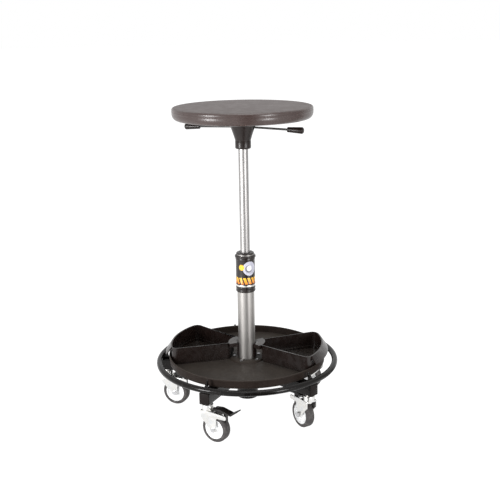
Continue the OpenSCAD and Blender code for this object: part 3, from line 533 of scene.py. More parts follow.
def facing_up(tree, start):
    """1 on level faces, 0 on those whose normal rises less than a start value."""
    facing = node(tree, "ShaderNodeSeparateXYZ")
    tree.links.new(node(tree, "ShaderNodeTexCoord").outputs["Normal"], facing.inputs[0])
    return spread(tree, facing.outputs["Z"], start, 1, 0, 1)


def foam_finish():
    """Skin of moulded foam: finely grained, satin on the side, worn dull on the top, a little cloudy."""
    colour = colours().foam
    finish, tree, shader = new_finish("seat_foam_skin", colour, 0, 0.36)
    shade(tree, shader, colour, cloudy(tree, 9, 4, 0, 1), 0.09)
    side, top = 0.28, 0.48
    rough = maths(tree, "ADD", spread(tree, facing_up(tree, 0.75), 0, 1, side, top),
                  spread(tree, noise(tree, 45, 5), 0.25, 0.75, -0.05, 0.07))
    tree.links.new(rough, shader.inputs["Roughness"])
    relief(tree, shader, (cells(tree, 900), 0.25, 0.15 * MM), (noise(tree, 320, 3), 0.12, 0.2 * MM))
    return finish


def moulded_finish(name, colour, roughness, grain_scale=1100, grain=0.2, gloss=0.22, dust=0.0):
    """Moulded plastic: a fine grain, faint handling marks, uneven gloss, and a paler colour on level faces
    that is partly dust and partly painted light on the tops.
    """
    finish, tree, shader = new_finish(name, colour, 0, roughness, gloss)
    marks = spread(tree, noise(tree, 30, 6), 0.35, 0.75, 0, 1)
    mottled = blend(tree, marks, scaled(colour, 0.84), scaled(colour, 1.16))
    # Level faces are paled in patches: partly dust, partly painted light that makes the tops look lit.
    dust_and_painted_top_light = maths(tree, "MULTIPLY", facing_up(tree, 0.6), spread(tree, marks, 0, 1, dust * 0.75, dust))
    dust_and_top_light_colour = (0.11, 0.1, 0.085)
    paint_over(tree, shader, dust_and_painted_top_light, mottled, dust_and_top_light_colour)
    uneven_gloss(tree, shader, 70, 5, roughness - 0.07, roughness + 0.09)
    relief(tree, shader, (cells(tree, grain_scale), grain, 0.12 * MM), (noise(tree, 18, 2), 0.05, 0.6 * MM))
    return finish


def gloss_paint_finish():
    """Gloss paint over welded steel, with the faint unevenness of a sprayed coat."""
    colour = colours().paint
    finish, tree, shader = new_finish("base_gloss_paint", colour, 0, 0.24, 0.12)
    shader.inputs["Coat Weight"].default_value = 0.15
    shader.inputs["Coat Roughness"].default_value = 0.08
    dust = spread(tree, noise(tree, 260, 6), 0.6, 0.8, 0, 1)
    paint_over(tree, shader, dust, colour, (0.05, 0.045, 0.042))
    uneven_gloss(tree, shader, 25, 4, 0.18, 0.32)
    relief(tree, shader, (noise(tree, 240, 2), 0.08, 0.25 * MM))
    return finish


def metal_finish(name, colour, roughness, along, lines):
    """Metal whose polishing or drawing lines run along one axis."""
    finish, tree, shader = new_finish(name, colour, 1, roughness)
    stretch = [1 if axis == along else 90 for axis in "XYZ"]
    drawn_lines = noise(tree, 12, 6, stretch)
    shade(tree, shader, colour, cloudy(tree, 14, 4, 0, 1), 0.06)
    rough = spread(tree, drawn_lines, *NOISE_RANGE, roughness - 0.07, roughness + 0.08)
    tree.links.new(rough, shader.inputs["Roughness"])
    relief(tree, shader, (drawn_lines, lines, 0.05 * MM))
    return finish


def zinc_finish():
    """Bright zinc plating: a mottled gloss with a trace of yellow and blue."""
    colour = colours().zinc
    finish, tree, shader = new_finish("bright_zinc", colour, 1, 0.3)
    patches = spread(tree, cells(tree, 130), 0.1, 0.7, 0, 1)
    tinted = blend(tree, patches, scaled(colour, 0.88), (0.72, 0.71, 0.68))
    cool = spread(tree, noise(tree, 60, 4), 0.45, 0.75, 0, 0.5)
    paint_over(tree, shader, cool, tinted, (0.60, 0.64, 0.69))
    uneven_gloss(tree, shader, 90, 5, 0.2, 0.4)
    relief(tree, shader, (noise(tree, 420, 3), 0.1, 0.08 * MM))
    return finish


def rubber_finish():
    """Tyre rubber: dull, with floor dust worn into it."""
    colour = colours().tyre
    finish, tree, shader = new_finish("tyre_rubber", colour, 0, 0.7)
    dust = spread(tree, noise(tree, 110, 6), 0.5, 0.8, 0, 0.7)
    paint_over(tree, shader, dust, colour, (0.13, 0.12, 0.11))
    uneven_gloss(tree, shader, 60, 4, 0.58, 0.8)
    relief(tree, shader, (noise(tree, 900, 3), 0.2, 0.12 * MM))
    return finish


def plywood_finish():
    """Sealed plywood: long grain, and plies that show on its edge."""
    finish, tree, shader = new_finish("sealed_plywood", (0.5, 0.34, 0.19), 0, 0.55)
    grain = noise(tree, 22, 6, (1, 14, 60))
    ply = node(tree, "ShaderNodeTexWave", {"bands_direction": "Z"}, Scale=180, Distortion=1.5)
    tree.links.new(surface_place(tree), ply.inputs["Vector"])
    wood = blend(tree, grain, (0.34, 0.21, 0.11), (0.62, 0.45, 0.27))
    glue = spread(tree, ply.outputs["Fac"], 0, 1, 0, 0.35)
    paint_over(tree, shader, glue, wood, (0.28, 0.17, 0.09))
    relief(tree, shader, (grain, 0.15, 0.2 * MM))
    return finish


def within(tree, value, start, end):
    """1 where a value lies between two bounds, otherwise 0."""
    above = maths(tree, "GREATER_THAN", value, start)
    below = maths(tree, "LESS_THAN", value, end)
    return maths(tree, "MULTIPLY", above, below)


def disc(tree, across, up, centre, radius):
    """1 inside a disc on a surface, otherwise 0."""
    away = [maths(tree, "SUBTRACT", value, middle) for value, middle in zip((across, up), centre)]
    squares = [maths(tree, "MULTIPLY", value, value) for value in away]
    return maths(tree, "LESS_THAN", maths(tree, "ADD", *squares), radius ** 2)


def label_finish(foot, top, radius):
    """Film round the sleeve: pale and yellow discs over a band of slanted stripes, on black."""
    black, white = (0.014, 0.010, 0.009), (0.85, 0.86, 0.9)
    band = (4 * MM, 23 * MM)
    finish, tree, shader = new_finish("sleeve_label_film", black, 0, 0.28)
    place = node(tree, "ShaderNodeTexCoord")
    axes = node(tree, "ShaderNodeSeparateXYZ")
    tree.links.new(place.outputs["Object"], axes.inputs[0])
    up = maths(tree, "SUBTRACT", axes.outputs["Z"], foot)
    turn = maths(tree, "ARCTAN2", axes.outputs["Y"], axes.outputs["X"])
    # The print repeats on the back half; half a turn runs from 0 to 1, its middle at the front
    half = maths(tree, "FRACT", maths(tree, "ADD", maths(tree, "DIVIDE", turn, math.pi), 3))
    across = maths(tree, "MULTIPLY", maths(tree, "SUBTRACT", half, 0.5), math.pi * radius)
    width = math.pi * radius / sizes().label_stripes
    lean, stripe_share = 0.35, 0.66
    slanted = maths(tree, "ADD", across, maths(tree, "MULTIPLY", up, lean))
    # A whole number of stripes is added, because the fraction of a negative value differs
    wave = maths(tree, "FRACT", maths(tree, "ADD", maths(tree, "DIVIDE", slanted, width), 64))
    stripes = maths(tree, "MULTIPLY", maths(tree, "LESS_THAN", wave, stripe_share), within(tree, up, *band))
    grey, yellow, orange = colours().label_grey, colours().label_yellow, colours().label_orange
    layer = black
    for x, z, disc_radius, ink in (
        (13, 51, 21, grey), (10, 50, 11, scaled(grey, 0.35)), (12, 52, 8, white), (-12, 54, 8.5, yellow)
    ):
        layer = blend(tree, disc(tree, across, up, (x * MM, z * MM), disc_radius * MM), layer, ink)
    layer = blend(tree, stripes, layer, blend(tree, spread(tree, up, *band, 0, 1), orange, yellow))
    wear = spread(tree, noise(tree, 300, 6), 0.66, 0.8, 0, 0.6)
    paint_over(tree, shader, wear, layer, (0.05, 0.045, 0.04))
    uneven_gloss(tree, shader, 4 / (top - foot), 4, 0.22, 0.36)
    relief(tree, shader, (noise(tree, 180, 2), 0.06, 0.3 * MM))
    return finish


class PieceOperator(bpy.types.Operator):
    """A step that models pieces of the stool."""

    bl_options = {"REGISTER", "UNDO"}


class STOOL_OT_seat_pad(PieceOperator):
    """Turns the moulded foam seat, with its crown, parting line and recess"""

    bl_idname = "stool.seat_pad"
    bl_label = "Seat pad"

    def execute(self, context):
        top, foot, _ = extent("seat_cushion")
        rim = 198.5 * MM
        crown, edge, tuck, upright, flat = 1 * MM, 6 * MM, 14 * MM, 10 * MM, 60 * MM
        shoulder = top - crown - edge
        side_foot = shoulder - upright
        recess = high("seat_board").x - 35 * MM
        steps = 12
        crown_line = [(0, top)] + [
            (flat + (rim - edge - flat) * i / steps, top - crown * (i / steps) ** 2) for i in range(steps)
        ]
        upper = arc(rim - edge, shoulder, edge, 90, 0, steps)
        lower = [
            (rim - tuck + tuck * out, side_foot - (side_foot - foot) * down)
            for out, down in arc(0, 0, 1, 0, 90, steps)
        ]
        line = sizes().parting_line
        seam_z = shoulder - upright / 2
        seam = [
            (rim, seam_z + 0.8 * MM),
            (rim + line, seam_z + 0.2 * MM),
            (rim + line, seam_z - 0.2 * MM),
            (rim, seam_z - 0.8 * MM),
        ]
        lip = 3 * MM
        recess_edge = arc(recess + lip, foot + lip, lip, -90, -180, 4)
        floor = foot + 17 * MM
        hollow = [(recess, floor), (0, floor)]
        outline = crown_line + upper + seam + lower + recess_edge + hollow
        pad = smoothed(turned("seat_pad", outline, closed=False, steps=160), math.radians(50))
        hand_over(pad, "seat", "seat_foam", foam_finish(), "seat_cushion")
        return {"FINISHED"}


class STOOL_OT_seat_fittings(PieceOperator):
    """Finishes the plywood board, the steel plate and the pieces between seat and gas lift"""

    bl_idname = "stool.seat_fittings"
    bl_label = "Seat fittings"

    def execute(self, context):
        refinish(plywood_finish(), "seat_board")
        steel = moulded_finish("seat_plate_coat", (0.035, 0.035, 0.037), 0.42, 700, 0.35)
        refinish(steel, "seat_plate", "socket_housing")
        plated = metal_finish("plated_fasteners", colours().zinc, 0.28, "Z", 0.1)
        refinish(plated, "seat_screws", "tilt_axle", "lever_pins", "release_pin", "rod_clip",
                 "thrust_bearing", "stem_sleeves")
        return {"FINISHED"}


class STOOL_OT_cone_cover(PieceOperator):
    """Turns the cone-shaped cover and cuts its two lever windows"""

    bl_idname = "stool.cone_cover"
    bl_label = "Cone cover"

    def execute(self, context):
        top, foot, _ = extent("cone_cover")
        collar, mouth = 22.5 * MM, 41 * MM
        wall, flare_foot, lip = 2.5 * MM, foot + 24.5 * MM, 7 * MM
        bore, lip_bore = 18.05 * MM, 14.5 * MM
        steps, bend = 20, 1.08
        shares = [i / steps for i in range(steps + 1)]

        def flare(share):
            return collar + (mouth - collar) * share ** bend

        outside = [(flare(s), flare_foot + (top - flare_foot) * s) for s in shares]
        rim = [(mouth + 0.6 * MM, top - 2 * MM), (mouth + 0.6 * MM, top)]
        inside = [(flare(s) - wall, flare_foot + (top - flare_foot) * s) for s in reversed(shares)]
        socket = [(bore, flare_foot - wall), (bore, foot + lip), (lip_bore, foot + lip), (lip_bore, foot)]
        corner = arc(collar - 3.5 * MM, foot + 3.5 * MM, 3.5 * MM, -90, 0, 6)
        step_line = [(collar, flare_foot - 2.4 * MM), (collar - 0.5 * MM, flare_foot - 1.6 * MM),
                     (collar - 0.5 * MM, flare_foot - 0.9 * MM)]
        cover = turned("cone_cover_shell", corner + step_line + outside[:-1] + rim + inside + socket)
        half_rise, half_width = 3.5 * MM, 5 * MM
        window = rod("window", half_width, (-mouth * 1.2, 0, LEVER_Z), (mouth * 1.2, 0, LEVER_Z))
        open_up(window)
        for side in (-1, 1):
            select_edges(window, lambda point: (point.z - LEVER_Z) * side > -WELD)
            bpy.ops.transform.translate(value=(0, 0, side * half_rise))
        close_up()
        merged(cover, "DIFFERENCE", [window])
        softened(cover, 0.4 * MM)
        put(cover, lever_place())
        black = moulded_finish("cover_moulding", colours().moulding, 0.32, 1200, 0.12, 0.35)
        hand_over(cover, "seat_post", "cover_plastic", black, "cone_cover")
        return {"FINISHED"}


class STOOL_OT_levers(PieceOperator):
    """Finishes the two lever rods and turns their grips"""

    bl_idname = "stool.levers"
    bl_label = "Levers and grips"

    def execute(self, context):
        coat = moulded_finish("lever_coat", (0.02, 0.019, 0.018), 0.35, 500, 0.1)
        refinish(coat, "height_lever", "tilt_lever")
        length, root, tip, ball = 47 * MM, 7.25 * MM, 9.25 * MM, 5.5 * MM
        bore, depth = 3.05 * MM, 39.8 * MM
        grooves = []
        for count in range(3):
            start = (5 + 4 * count) * MM
            here = root + (tip - root) * start / length
            grooves += [
                (here, start), (here - 0.55 * MM, start + 0.7 * MM),
                (here - 0.55 * MM, start + 1.3 * MM), (here + 0.1 * MM, start + 2 * MM)
            ]
        outline = [(bore, 0), (root - 0.8 * MM, 0), (root, 0.8 * MM)] + grooves
        outline += arc(tip - ball, length - ball, ball, 0, 90, 8)
        outline += [(0, length), (0, depth), (bore, depth)]
        grip = turned("grip", outline, closed=True, steps=48)
        droop = math.radians(1.6)
        root_x, tip_x = 25 * MM, 182 * MM
        rod_length = (tip_x - root_x) / math.cos(droop)
        along = Matrix.Translation((root_x, 0, LEVER_Z)) @ Matrix.Rotation(math.radians(90) + droop, 4, "Y")
        put(grip, along @ Matrix.Translation((0, 0, rod_length - length)))
        smoothed(grip)
        black = moulded_finish("grip_moulding", scaled(colours().moulding, 0.9), 0.26, 1400, 0.08)
        for lever, turn, body in (("height", 0, "height_control"), ("tilt", math.pi, "tilt_control")):
            piece = placed_copy(grip, f"{lever}_lever_grip", lever_place(turn))
            hand_over(piece, body, "grip_plastic", black, f"{lever}_grip")
        bpy.data.objects.remove(grip)
        return {"FINISHED"}


class STOOL_OT_gas_lift(PieceOperator):
    """Finishes the polished cylinder and rod of the gas lift"""

    bl_idname = "stool.gas_lift"
    bl_label = "Gas lift"

    def execute(self, context):
        chrome = metal_finish("polished_cylinder", colours().chrome, 0.42, "Z", 0.05)
        refinish(chrome, "gas_cylinder", "piston_rod")
        return {"FINISHED"}


class STOOL_OT_column(PieceOperator):
    """Turns the bush, collars and trim ring of the column, and finishes its tube"""

    bl_idname = "stool.column"
    bl_label = "Column"

    def execute(self, context):
        refinish(metal_finish("drawn_column", colours().drawn_steel, 0.42, "Z", 0.1), "column_tube")
        black = moulded_finish("column_moulding", colours().moulding, 0.3, 1200, 0.1, 0.5)
        self.bush(black)
        top, foot, outer = extent("upper_collar")
        collar = turned("upper_collar_ring", [
            (COLUMN_BORE, foot), (outer - 2 * MM, foot), (outer, foot + 1.5 * MM),
            (outer, top - 2.5 * MM), (outer - 1 * MM, top - 1 * MM), (outer - 2 * MM, top),
            (COLUMN_BORE, top)
        ])
        softened(collar, 0.4 * MM, sharper_than=20)
        hand_over(collar, "base", "cover_plastic", black, "upper_collar")
        self.lower_collar(black)
        top, foot, outer = extent("trim_ring")
        ring = turned("pale_trim_ring", [
            (COLUMN_BORE, foot), (outer, foot), (outer, top), (COLUMN_BORE, top)
        ])
        softened(ring, 0.5 * MM)
        pale = metal_finish("trim_ring_satin", colours().trim, 0.35, "Z", 0.05)
        hand_over(ring, "base", "trim_pale", pale, "trim_ring")
        return {"FINISHED"}

    def bush(self, black):
        top, foot, outer = extent("guide_bush")
        cap, inner, body = top - 5 * MM, 14.05 * MM, 22.95 * MM
        bush = turned("guide_bush_cap", [
            (inner, foot), (body, foot), (body, cap), (outer, cap), (outer, cap + 1.8 * MM)
        ] + arc(outer - 2.8 * MM, cap + 1.8 * MM, 2.8 * MM, 0, 75, 6)[1:] + [
            (19 * MM, top - 0.1 * MM), (18 * MM, top - 1.2 * MM), (16.6 * MM, top - 1.2 * MM),
            (16 * MM, top), (inner, top)
        ])
        softened(bush, 0.3 * MM, sharper_than=30)
        hand_over(bush, "base", "cover_plastic", black, "guide_bush")

    def lower_collar(self, black):
        top, foot, outer = extent("lower_collar")
        middle, half_groove, depth = (top + foot) / 2, 2 * MM, 1.1 * MM
        collar = turned("grooved_lower_collar", [
            (COLUMN_BORE, foot), (outer - 1.4 * MM, foot), (outer, foot + 1.4 * MM),
            (outer, middle - half_groove), (outer - depth, middle - half_groove + 0.5 * MM),
            (outer - depth, middle + half_groove - 0.5 * MM), (outer, middle + half_groove),
            (outer, top - 1.2 * MM), (outer - 1.2 * MM, top), (COLUMN_BORE, top)
        ])
        softened(collar, 0.35 * MM, sharper_than=25)
        hand_over(collar, "base", "cover_plastic", black, "lower_collar")


class STOOL_OT_label_sleeve(PieceOperator):
    """Turns the sleeve of the column and puts a label of a generic design on it"""

    bl_idname = "stool.label_sleeve"
    bl_label = "Label sleeve"

    def execute(self, context):
        top, foot, outer = extent("column_sleeve")
        lip, lip_h = 0.6 * MM, 5 * MM
        sleeve = turned("column_label_sleeve", [
            (COLUMN_BORE, foot), (outer, foot), (outer, foot + lip_h), (outer - lip, foot + lip_h + lip),
            (outer - lip, top - lip_h - lip), (outer, top - lip_h), (outer, top), (COLUMN_BORE, top)
        ], steps=128)
        softened(sleeve, 0.25 * MM)
        hand_over(sleeve, "base", "sleeve_black", label_finish(foot, top, outer), "column_sleeve")
        return {"FINISHED"}


class STOOL_OT_base(PieceOperator):
    """Models the hub, the five legs and their end caps"""

    bl_idname = "stool.base"
    bl_label = "Base"

    def execute(self, context):
        paint = gloss_paint_finish()
        self.hub(paint)
        for piece in on_legs(self.leg(), "leg"):
            hand_over(piece, "base", "base_paint", paint, "base_legs")
        dull = moulded_finish("end_cap_moulding", colours().end_cap, 0.48, 900, 0.2, 0.12)
        for piece in on_legs(self.end_cap(), "leg_end_cap"):
            hand_over(piece, "base", "cap_plastic", dull, "leg_end_caps")
        refinish(zinc_finish(), "caster_stems")
        return {"FINISHED"}

    def hub(self, paint):
        top, foot, outer = extent("base_hub")
        step_bore, step_z = 21 * MM, foot + 7 * MM
        hub = turned("base_hub_tube", [
            (step_bore, foot), (outer, foot), (outer, top),
            (COLUMN_BORE, top), (COLUMN_BORE, step_z), (step_bore, step_z)
        ])
        softened(hub, 1.2 * MM, segments=3)
        hand_over(hub, "base", "base_paint", paint, "base_hub")

    def leg(self):
        """One leg along +X: a rectangular tube, open where the cap's plug goes in."""
        foot, top, half_width = low("base_legs").z, high("base_legs").z, 15 * MM
        inner, outer, wall, corner, hollow = 31.3 * MM, 262 * MM, 2 * MM, 3 * MM, 30 * MM
        leg = bar("leg", (inner, -half_width, foot), (outer, half_width, top))
        open_up(leg)
        select_edges(leg, lambda point: point.x > outer - WELD)
        bpy.context.tool_settings.mesh_select_mode = (False, False, True)
        bpy.ops.mesh.inset(thickness=wall)
        extrude((-hollow, 0, 0))
        face_out()
        close_up()

        def at_corner(point):
            at_side = abs(abs(point.y) - half_width) < WELD
            return at_side and min(abs(point.z - foot), abs(point.z - top)) < WELD

        round_edges(leg, at_corner, corner, 5, longer_than=(outer - inner) / 2)
        return smoothed(leg)

    def end_cap(self):
        """One end cap along +X: a rounded plate on the end of the leg, with its plug."""
        foot, top, half_width = low("leg_end_caps").z, high("leg_end_caps").z, 15 * MM
        inner, outer, wall, plug = 262 * MM, 266 * MM, 2.05 * MM, 26 * MM
        cap = bar("cap", (inner, -half_width, foot), (outer, half_width, top))
        round_edges(cap, lambda point: True, 1.6 * MM, 3)
        block = bar("plug", (inner - plug, -half_width + wall, foot + wall),
                    (inner + 2 * MM, half_width - wall, top - wall))
        return smoothed(merged(cap, "UNION", [block]))


class STOOL_OT_foot_ring(PieceOperator):
    """Bends the foot ring and cuts the five pointed brackets that carry it"""

    bl_idname = "stool.foot_ring"
    bl_label = "Foot ring"

    def execute(self, context):
        paint = gloss_paint_finish()
        lowest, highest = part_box("foot_ring")
        tube = (highest.z - lowest.z) / 2
        outer, level = highest.x, (highest.z + lowest.z) / 2
        deselect()
        bpy.ops.mesh.primitive_torus_add(
            major_radius=outer - tube, minor_radius=tube, major_segments=240, minor_segments=32,
            location=(0, 0, level)
        )
        ring = added("foot_ring_tube")
        bpy.ops.object.shade_smooth()
        hand_over(ring, "base", "base_paint", paint, "foot_ring")
        foot, tip = low("ring_brackets").z, high("ring_brackets").z
        ring_in, middle = outer - 2 * tube, outer - tube
        foot_x, tip_x, half = middle - 24 * MM, 242.75 * MM, 2.5 * MM
        outline = [
            (foot_x, foot), (middle, foot), (middle, level), (ring_in + tube / 2, level + tube * 2 / 3),
            (tip_x + half, tip), (tip_x - half / 2, tip), (foot_x + 2 * half, foot + (tip - foot) / 3)
        ]
        bracket = plate("bracket", outline, -half, half)
        softened(bracket, 0.7 * MM, segments=3, sharper_than=25)
        for piece in on_legs(bracket, "ring_bracket"):
            hand_over(piece, "base", "base_paint", paint, "ring_brackets")
        return {"FINISHED"}


class STOOL_OT_tool_tray(PieceOperator):
    """Turns the round tool tray with its beaded rim and boss, and finishes its screws"""

    bl_idname = "stool.tool_tray"
    bl_label = "Tool tray"

    def execute(self, context):
        foot, rim_z, rim = low("tool_tray").z, high("tool_tray").z, 232.5 * MM
        wall, corner, lean, bead = 3 * MM, 4 * MM, 1.5 * MM, 4.5 * MM
        hole, boss, boss_rise = 25.4 * MM, 48 * MM, 4 * MM
        centre, under = rim - lean - corner, foot + 8 * MM
        floor = under + wall
        boss_top = floor + boss_rise
        outline = [
            (hole, foot), (hole + wall, foot), (hole + wall, boss_top - wall),
            (boss - wall, boss_top - wall), (boss - wall, foot), (boss, foot), (boss, under)
        ]
        outline += arc(centre, under + corner, corner, -90, 0, 10)
        outline += [(rim - lean, rim_z - bead), (rim, rim_z - bead + 1.1 * MM)]
        outline += arc(rim - bead / 2, rim_z - bead / 2, bead / 2, 0, 180, 12)
        outline += [(rim - bead, rim_z - bead - 0.6 * MM), (rim - bead, rim_z - 1.5 * bead)]
        outline += arc(centre, under + corner, corner - wall, 0, -90, 6)
        outline += [
            (boss + boss_rise, floor), (boss + 0.6 * MM, boss_top - 0.6 * MM),
            (boss - 0.6 * MM, boss_top), (hole + 1 * MM, boss_top), (hole, boss_top - 1 * MM)
        ]
        tray = turned("round_tool_tray", outline, steps=192)
        post_r, screw_circle = 5.5 * MM, 39 * MM
        post = rod("post", post_r, (screw_circle, 0, foot), (screw_circle, 0, boss_top - wall / 2))
        merged(tray, "UNION", on_legs(post, "post"))
        softened(tray, 0.3 * MM, sharper_than=50)
        # The last value pales the tray's level faces, its floor most: dust and painted top light.
        grained = moulded_finish("tray_moulding", colours().tray, 0.52, 800, 0.3, 0.12, 0.28)
        hand_over(tray, "base", "tray_plastic", grained, "tool_tray")
        refinish(metal_finish("tray_screw_steel", (0.30, 0.30, 0.31), 0.35, "Z", 0.05), "tray_screws")
        return {"FINISHED"}


class STOOL_OT_bins(PieceOperator):
    """Softens the edges of the two lift-out bins"""

    bl_idname = "stool.bins"
    bl_label = "Bins"

    def execute(self, context):
        smooth = moulded_finish("bin_moulding", colours().bin, 0.27, 1500, 0.01, 0.45, 0.12)
        for side in ("left", "right"):
            piece = copied_solid(f"{side}_lift_out_bin", f"{side}_bin")
            softened(piece, sizes().moulded_edge, segments=3)
            hand_over(piece, f"{side}_tool_bin", "bin_plastic", smooth, f"{side}_bin")
        return {"FINISHED"}


class STOOL_OT_casters(PieceOperator):
    """Softens the five forks and pedals, finishes the axle bolts, and turns one wheel and tyre that it
    copies five times
    """

    bl_idname = "stool.casters"
    bl_label = "Casters"

    def execute(self, context):
        zinc = zinc_finish()
        bolt_steel = metal_finish("axle_bolt_steel", (0.55, 0.55, 0.56), 0.3, "Y", 0.05)
        pale = moulded_finish("wheel_moulding", colours().wheel, 0.4, 900, 0.1, 0.5)
        rubber = rubber_finish()
        black = moulded_finish("pedal_moulding", colours().pedal, 0.36, 1100, 0.15)
        for number in CASTER_NUMBERS:
            for solid, body, slot, finish, edge in (
                (f"caster_fork_{number}", f"fork_{number}", "caster_zinc", zinc, sizes().steel_edge),
                (f"brake_pedal_{number}", f"pedal_{number}", "pedal_black", black, sizes().moulded_edge),
            ):
                piece = softened(copied_solid(f"{solid}_soft", solid), edge)
                hand_over(piece, body, slot, finish, solid)
            refinish(bolt_steel, f"axle_bolt_{number}")
        self.wheels(pale, rubber)
        return {"FINISHED"}

    def mirrored(self, name, side):
        """Turns a piece from one half of its outline, in millimetres."""
        half = [(radius * MM, across * MM) for radius, across in side]
        return turned(name, half + [(radius, -across) for radius, across in reversed(half)])

    def wheels(self, pale, rubber):
        # In millimetres
        wheel_r, rim_r, half = 40, 29.5, 12
        hub_r, hub_half, bore, web_r, dish = 11, 14.5, 4.05, 24.25, 3
        rim = self.mirrored("rim", [
            (bore, hub_half), (hub_r - 3, hub_half), (hub_r - 1.4, hub_half - 0.8),
            (hub_r, half - dish + 1), (hub_r + 1.2, half - dish),
            (hub_r + 6, half - dish), (hub_r + 6.6, half - dish + 0.7),
            (hub_r + 7.6, half - dish + 0.7), (hub_r + 8.2, half - dish),
            (web_r - 1, half - dish), (web_r, half - dish + 0.8), (web_r + 1, half - 0.5),
            (web_r + 1.6, half), (rim_r, half)
        ])
        softened(rim, 0.25 * MM, sharper_than=30)
        shoulder, half_tyre = 5, 12.5
        tread = arc(wheel_r - shoulder, half_tyre - shoulder, shoulder, 80, 0, 8)
        tyre = smoothed(self.mirrored("tyre", [
            (rim_r, half_tyre), (rim_r + 1, half_tyre), (wheel_r - shoulder, half_tyre),
            *tread, (wheel_r, 0.4)
        ]))
        lie_down = Matrix.Rotation(math.radians(90), 4, "X")
        for number in CASTER_NUMBERS:
            place = wheel_place(number) @ lie_down
            piece = placed_copy(rim, f"wheel_disc_{number}", place)
            hand_over(piece, f"wheel_{number}", "wheel_grey", pale, f"wheel_rim_{number}")
            piece = placed_copy(tyre, f"tyre_{number}", place)
            hand_over(piece, f"wheel_{number}", "tyre_grey", rubber, f"wheel_tyre_{number}")
        for piece in (rim, tyre):
            bpy.data.objects.remove(piece)


# Name, place, power, width and height; they aim at the middle of the stool
LAMPS = (
    ("left", (-1.9, -1.5, 0.7), 54, 0.6, 1.1),
    ("right", (1.6, -1.95, 0.7), 34, 0.5, 1.1),
    ("top", (0.2, -0.3, 3.2), 38, 2.0, 2.0),
)
# Name, angle in plan from the front towards +X, half its width as an angle, and grey
FLAGS = (("front", 10, 13, 0.01), ("side", 94, 13, 0.4))
# The camera stands where the photograph was taken from: place, then pitch, yaw and roll in degrees
CAMERA_PLACE = (0, -2.5619, 1.1613)
CAMERA_ANGLES = (14.73, 0.32, -1)


def seen_directly(tree):
    """1 for rays that show a surface or its mirror image, 0 for those that carry its light on."""
    path = node(tree, "ShaderNodeLightPath")
    seen = maths(tree, "MAXIMUM", path.outputs["Is Camera Ray"], path.outputs["Is Glossy Ray"])
    return maths(tree, "MAXIMUM", seen, path.outputs["Is Transmission Ray"])


def mix_into(tree, output, amount, first, second):
    """Mixes two shaders by an amount, into an output."""
    mix = node(tree, "ShaderNodeMixShader")
    for socket, value in zip(mix.inputs, (amount, first.outputs[0], second.outputs[0])):
        tree.links.new(value, socket)
    tree.links.new(mix.outputs[0], tree.nodes[output].inputs["Surface"])


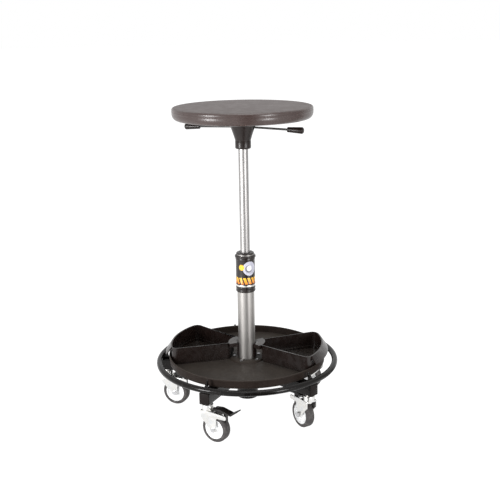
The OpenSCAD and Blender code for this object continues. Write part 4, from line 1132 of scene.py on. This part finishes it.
class STOOL_OT_stage(bpy.types.Operator):
    """Sets the pale floor, the soft lamps, the white surroundings and the camera"""

    bl_idname = "stool.stage"
    bl_label = "Stage"

    def execute(self, context):
        self.floor()
        self.surroundings()
        for lamp in LAMPS:
            self.lamp(*lamp)
        for flag in FLAGS:
            self.flag(*flag)
        self.camera()
        context.scene.view_settings.view_transform = "Standard"
        return {"FINISHED"}

    def floor(self):
        deselect()
        bpy.ops.mesh.primitive_plane_add(size=60, location=(0, 0, 0))
        floor = newest("floor")
        finish, tree, shader = new_finish("pale_floor", (0.86, 0.86, 0.86), 0, 0.6, 0.1)
        # The rest of the floor stays plain, and keeps the stool's shadow
        glow, glow_share = node(tree, "ShaderNodeEmission", Strength=1.25), 0.82
        amount = maths(tree, "MULTIPLY", seen_directly(tree), glow_share)
        mix_into(tree, "Material Output", amount, shader, glow)
        floor.data.materials.append(finish)

    def surroundings(self):
        world = bpy.data.worlds.new("studio")
        bpy.context.scene.world = world
        world.use_nodes = True
        tree = world.node_tree
        light, white = tree.nodes["Background"], node(tree, "ShaderNodeBackground")
        for background, strength in ((light, 0.55), (white, 1)):
            background.inputs["Color"].default_value = (1, 1, 1, 1)
            background.inputs["Strength"].default_value = strength
        mix_into(tree, "World Output", seen_directly(tree), light, white)

    def lamp(self, name, place, power, width, height):
        deselect()
        bpy.ops.object.light_add(type="AREA", location=place)
        lamp = newest(f"{name}_lamp")
        lamp.data.shape = "RECTANGLE"
        lamp.data.energy = power
        lamp.data.size = width
        lamp.data.size_y = height
        aim = Vector((0, 0, 0.6)) - lamp.location
        lamp.rotation_euler = aim.to_track_quat("-Z", "Y").to_euler()

    def flag(self, name, plan, half_angle, shade_of_grey):
        """A dark ramp that only mirrors see: it gives the tubes their dark streaks."""
        turn, half = math.radians(plan - 90), math.radians(half_angle)
        near, far, low_edge, high_edge = 0.3, 4.2, 0.01, 2.6
        near_side, far_side = near * math.tan(half), far * math.tan(half)
        flag = drawn(f"{name}_flag", [
            (near, -near_side, low_edge), (near, near_side, low_edge),
            (far, far_side, high_edge), (far, -far_side, high_edge)
        ], True)
        bpy.ops.mesh.edge_face_add()
        close_up(place=True)
        put(flag, Matrix.Rotation(turn, 4, "Z"))
        for ray in ("camera", "diffuse", "transmission", "shadow"):
            setattr(flag, f"visible_{ray}", False)
        flag.data.materials.append(new_finish(f"{name}_flag_cloth", (shade_of_grey,) * 3, 0, 1, 0)[0])

    def camera(self):
        pitch, yaw, roll = map(math.radians, CAMERA_ANGLES)
        deselect()
        bpy.ops.object.camera_add(location=CAMERA_PLACE)
        camera = bpy.context.object
        ahead = Vector((math.sin(yaw) * math.cos(pitch), math.cos(yaw) * math.cos(pitch), -math.sin(pitch)))
        right = Vector((math.cos(yaw), -math.sin(yaw), 0))
        up = right.cross(ahead)
        level = Matrix((right, up, -ahead)).transposed()
        camera.rotation_euler = (level @ Matrix.Rotation(roll, 3, "Z")).to_euler()
        camera.data.lens = sizes().camera_lens
        camera.data.sensor_width = 36
        bpy.context.scene.camera = camera


class STOOL_PT_panel(bpy.types.Panel):
    """Lists the steps that build the stool"""

    bl_label = "Rolling stool"
    bl_idname = "STOOL_PT_panel"
    bl_space_type = "VIEW_3D"
    bl_region_type = "UI"
    bl_category = "Stool"

    def draw(self, context):
        for step in STEPS:
            self.layout.operator(step.bl_idname)
        for group in (sizes(), colours()):
            for name in group.__annotations__:
                self.layout.prop(group, name)


STEPS = (
    STOOL_OT_seat_pad,
    STOOL_OT_seat_fittings,
    STOOL_OT_cone_cover,
    STOOL_OT_levers,
    STOOL_OT_gas_lift,
    STOOL_OT_column,
    STOOL_OT_label_sleeve,
    STOOL_OT_base,
    STOOL_OT_foot_ring,
    STOOL_OT_tool_tray,
    STOOL_OT_bins,
    STOOL_OT_casters,
    STOOL_OT_stage,
)
CLASSES = (StoolSizes, StoolColours, *STEPS, STOOL_PT_panel)


def register():
    for kind in CLASSES:
        bpy.utils.register_class(kind)
    bpy.types.Scene.stool_sizes = bpy.props.PointerProperty(type=StoolSizes)
    bpy.types.Scene.stool_colours = bpy.props.PointerProperty(type=StoolColours)


def unregister():
    del bpy.types.Scene.stool_sizes
    del bpy.types.Scene.stool_colours
    for kind in reversed(CLASSES):
        bpy.utils.unregister_class(kind)


def main():
    register()
    for step in STEPS:
        getattr(bpy.ops.stool, step.bl_idname.split(".")[1])()


if __name__ == "__main__":
    main()
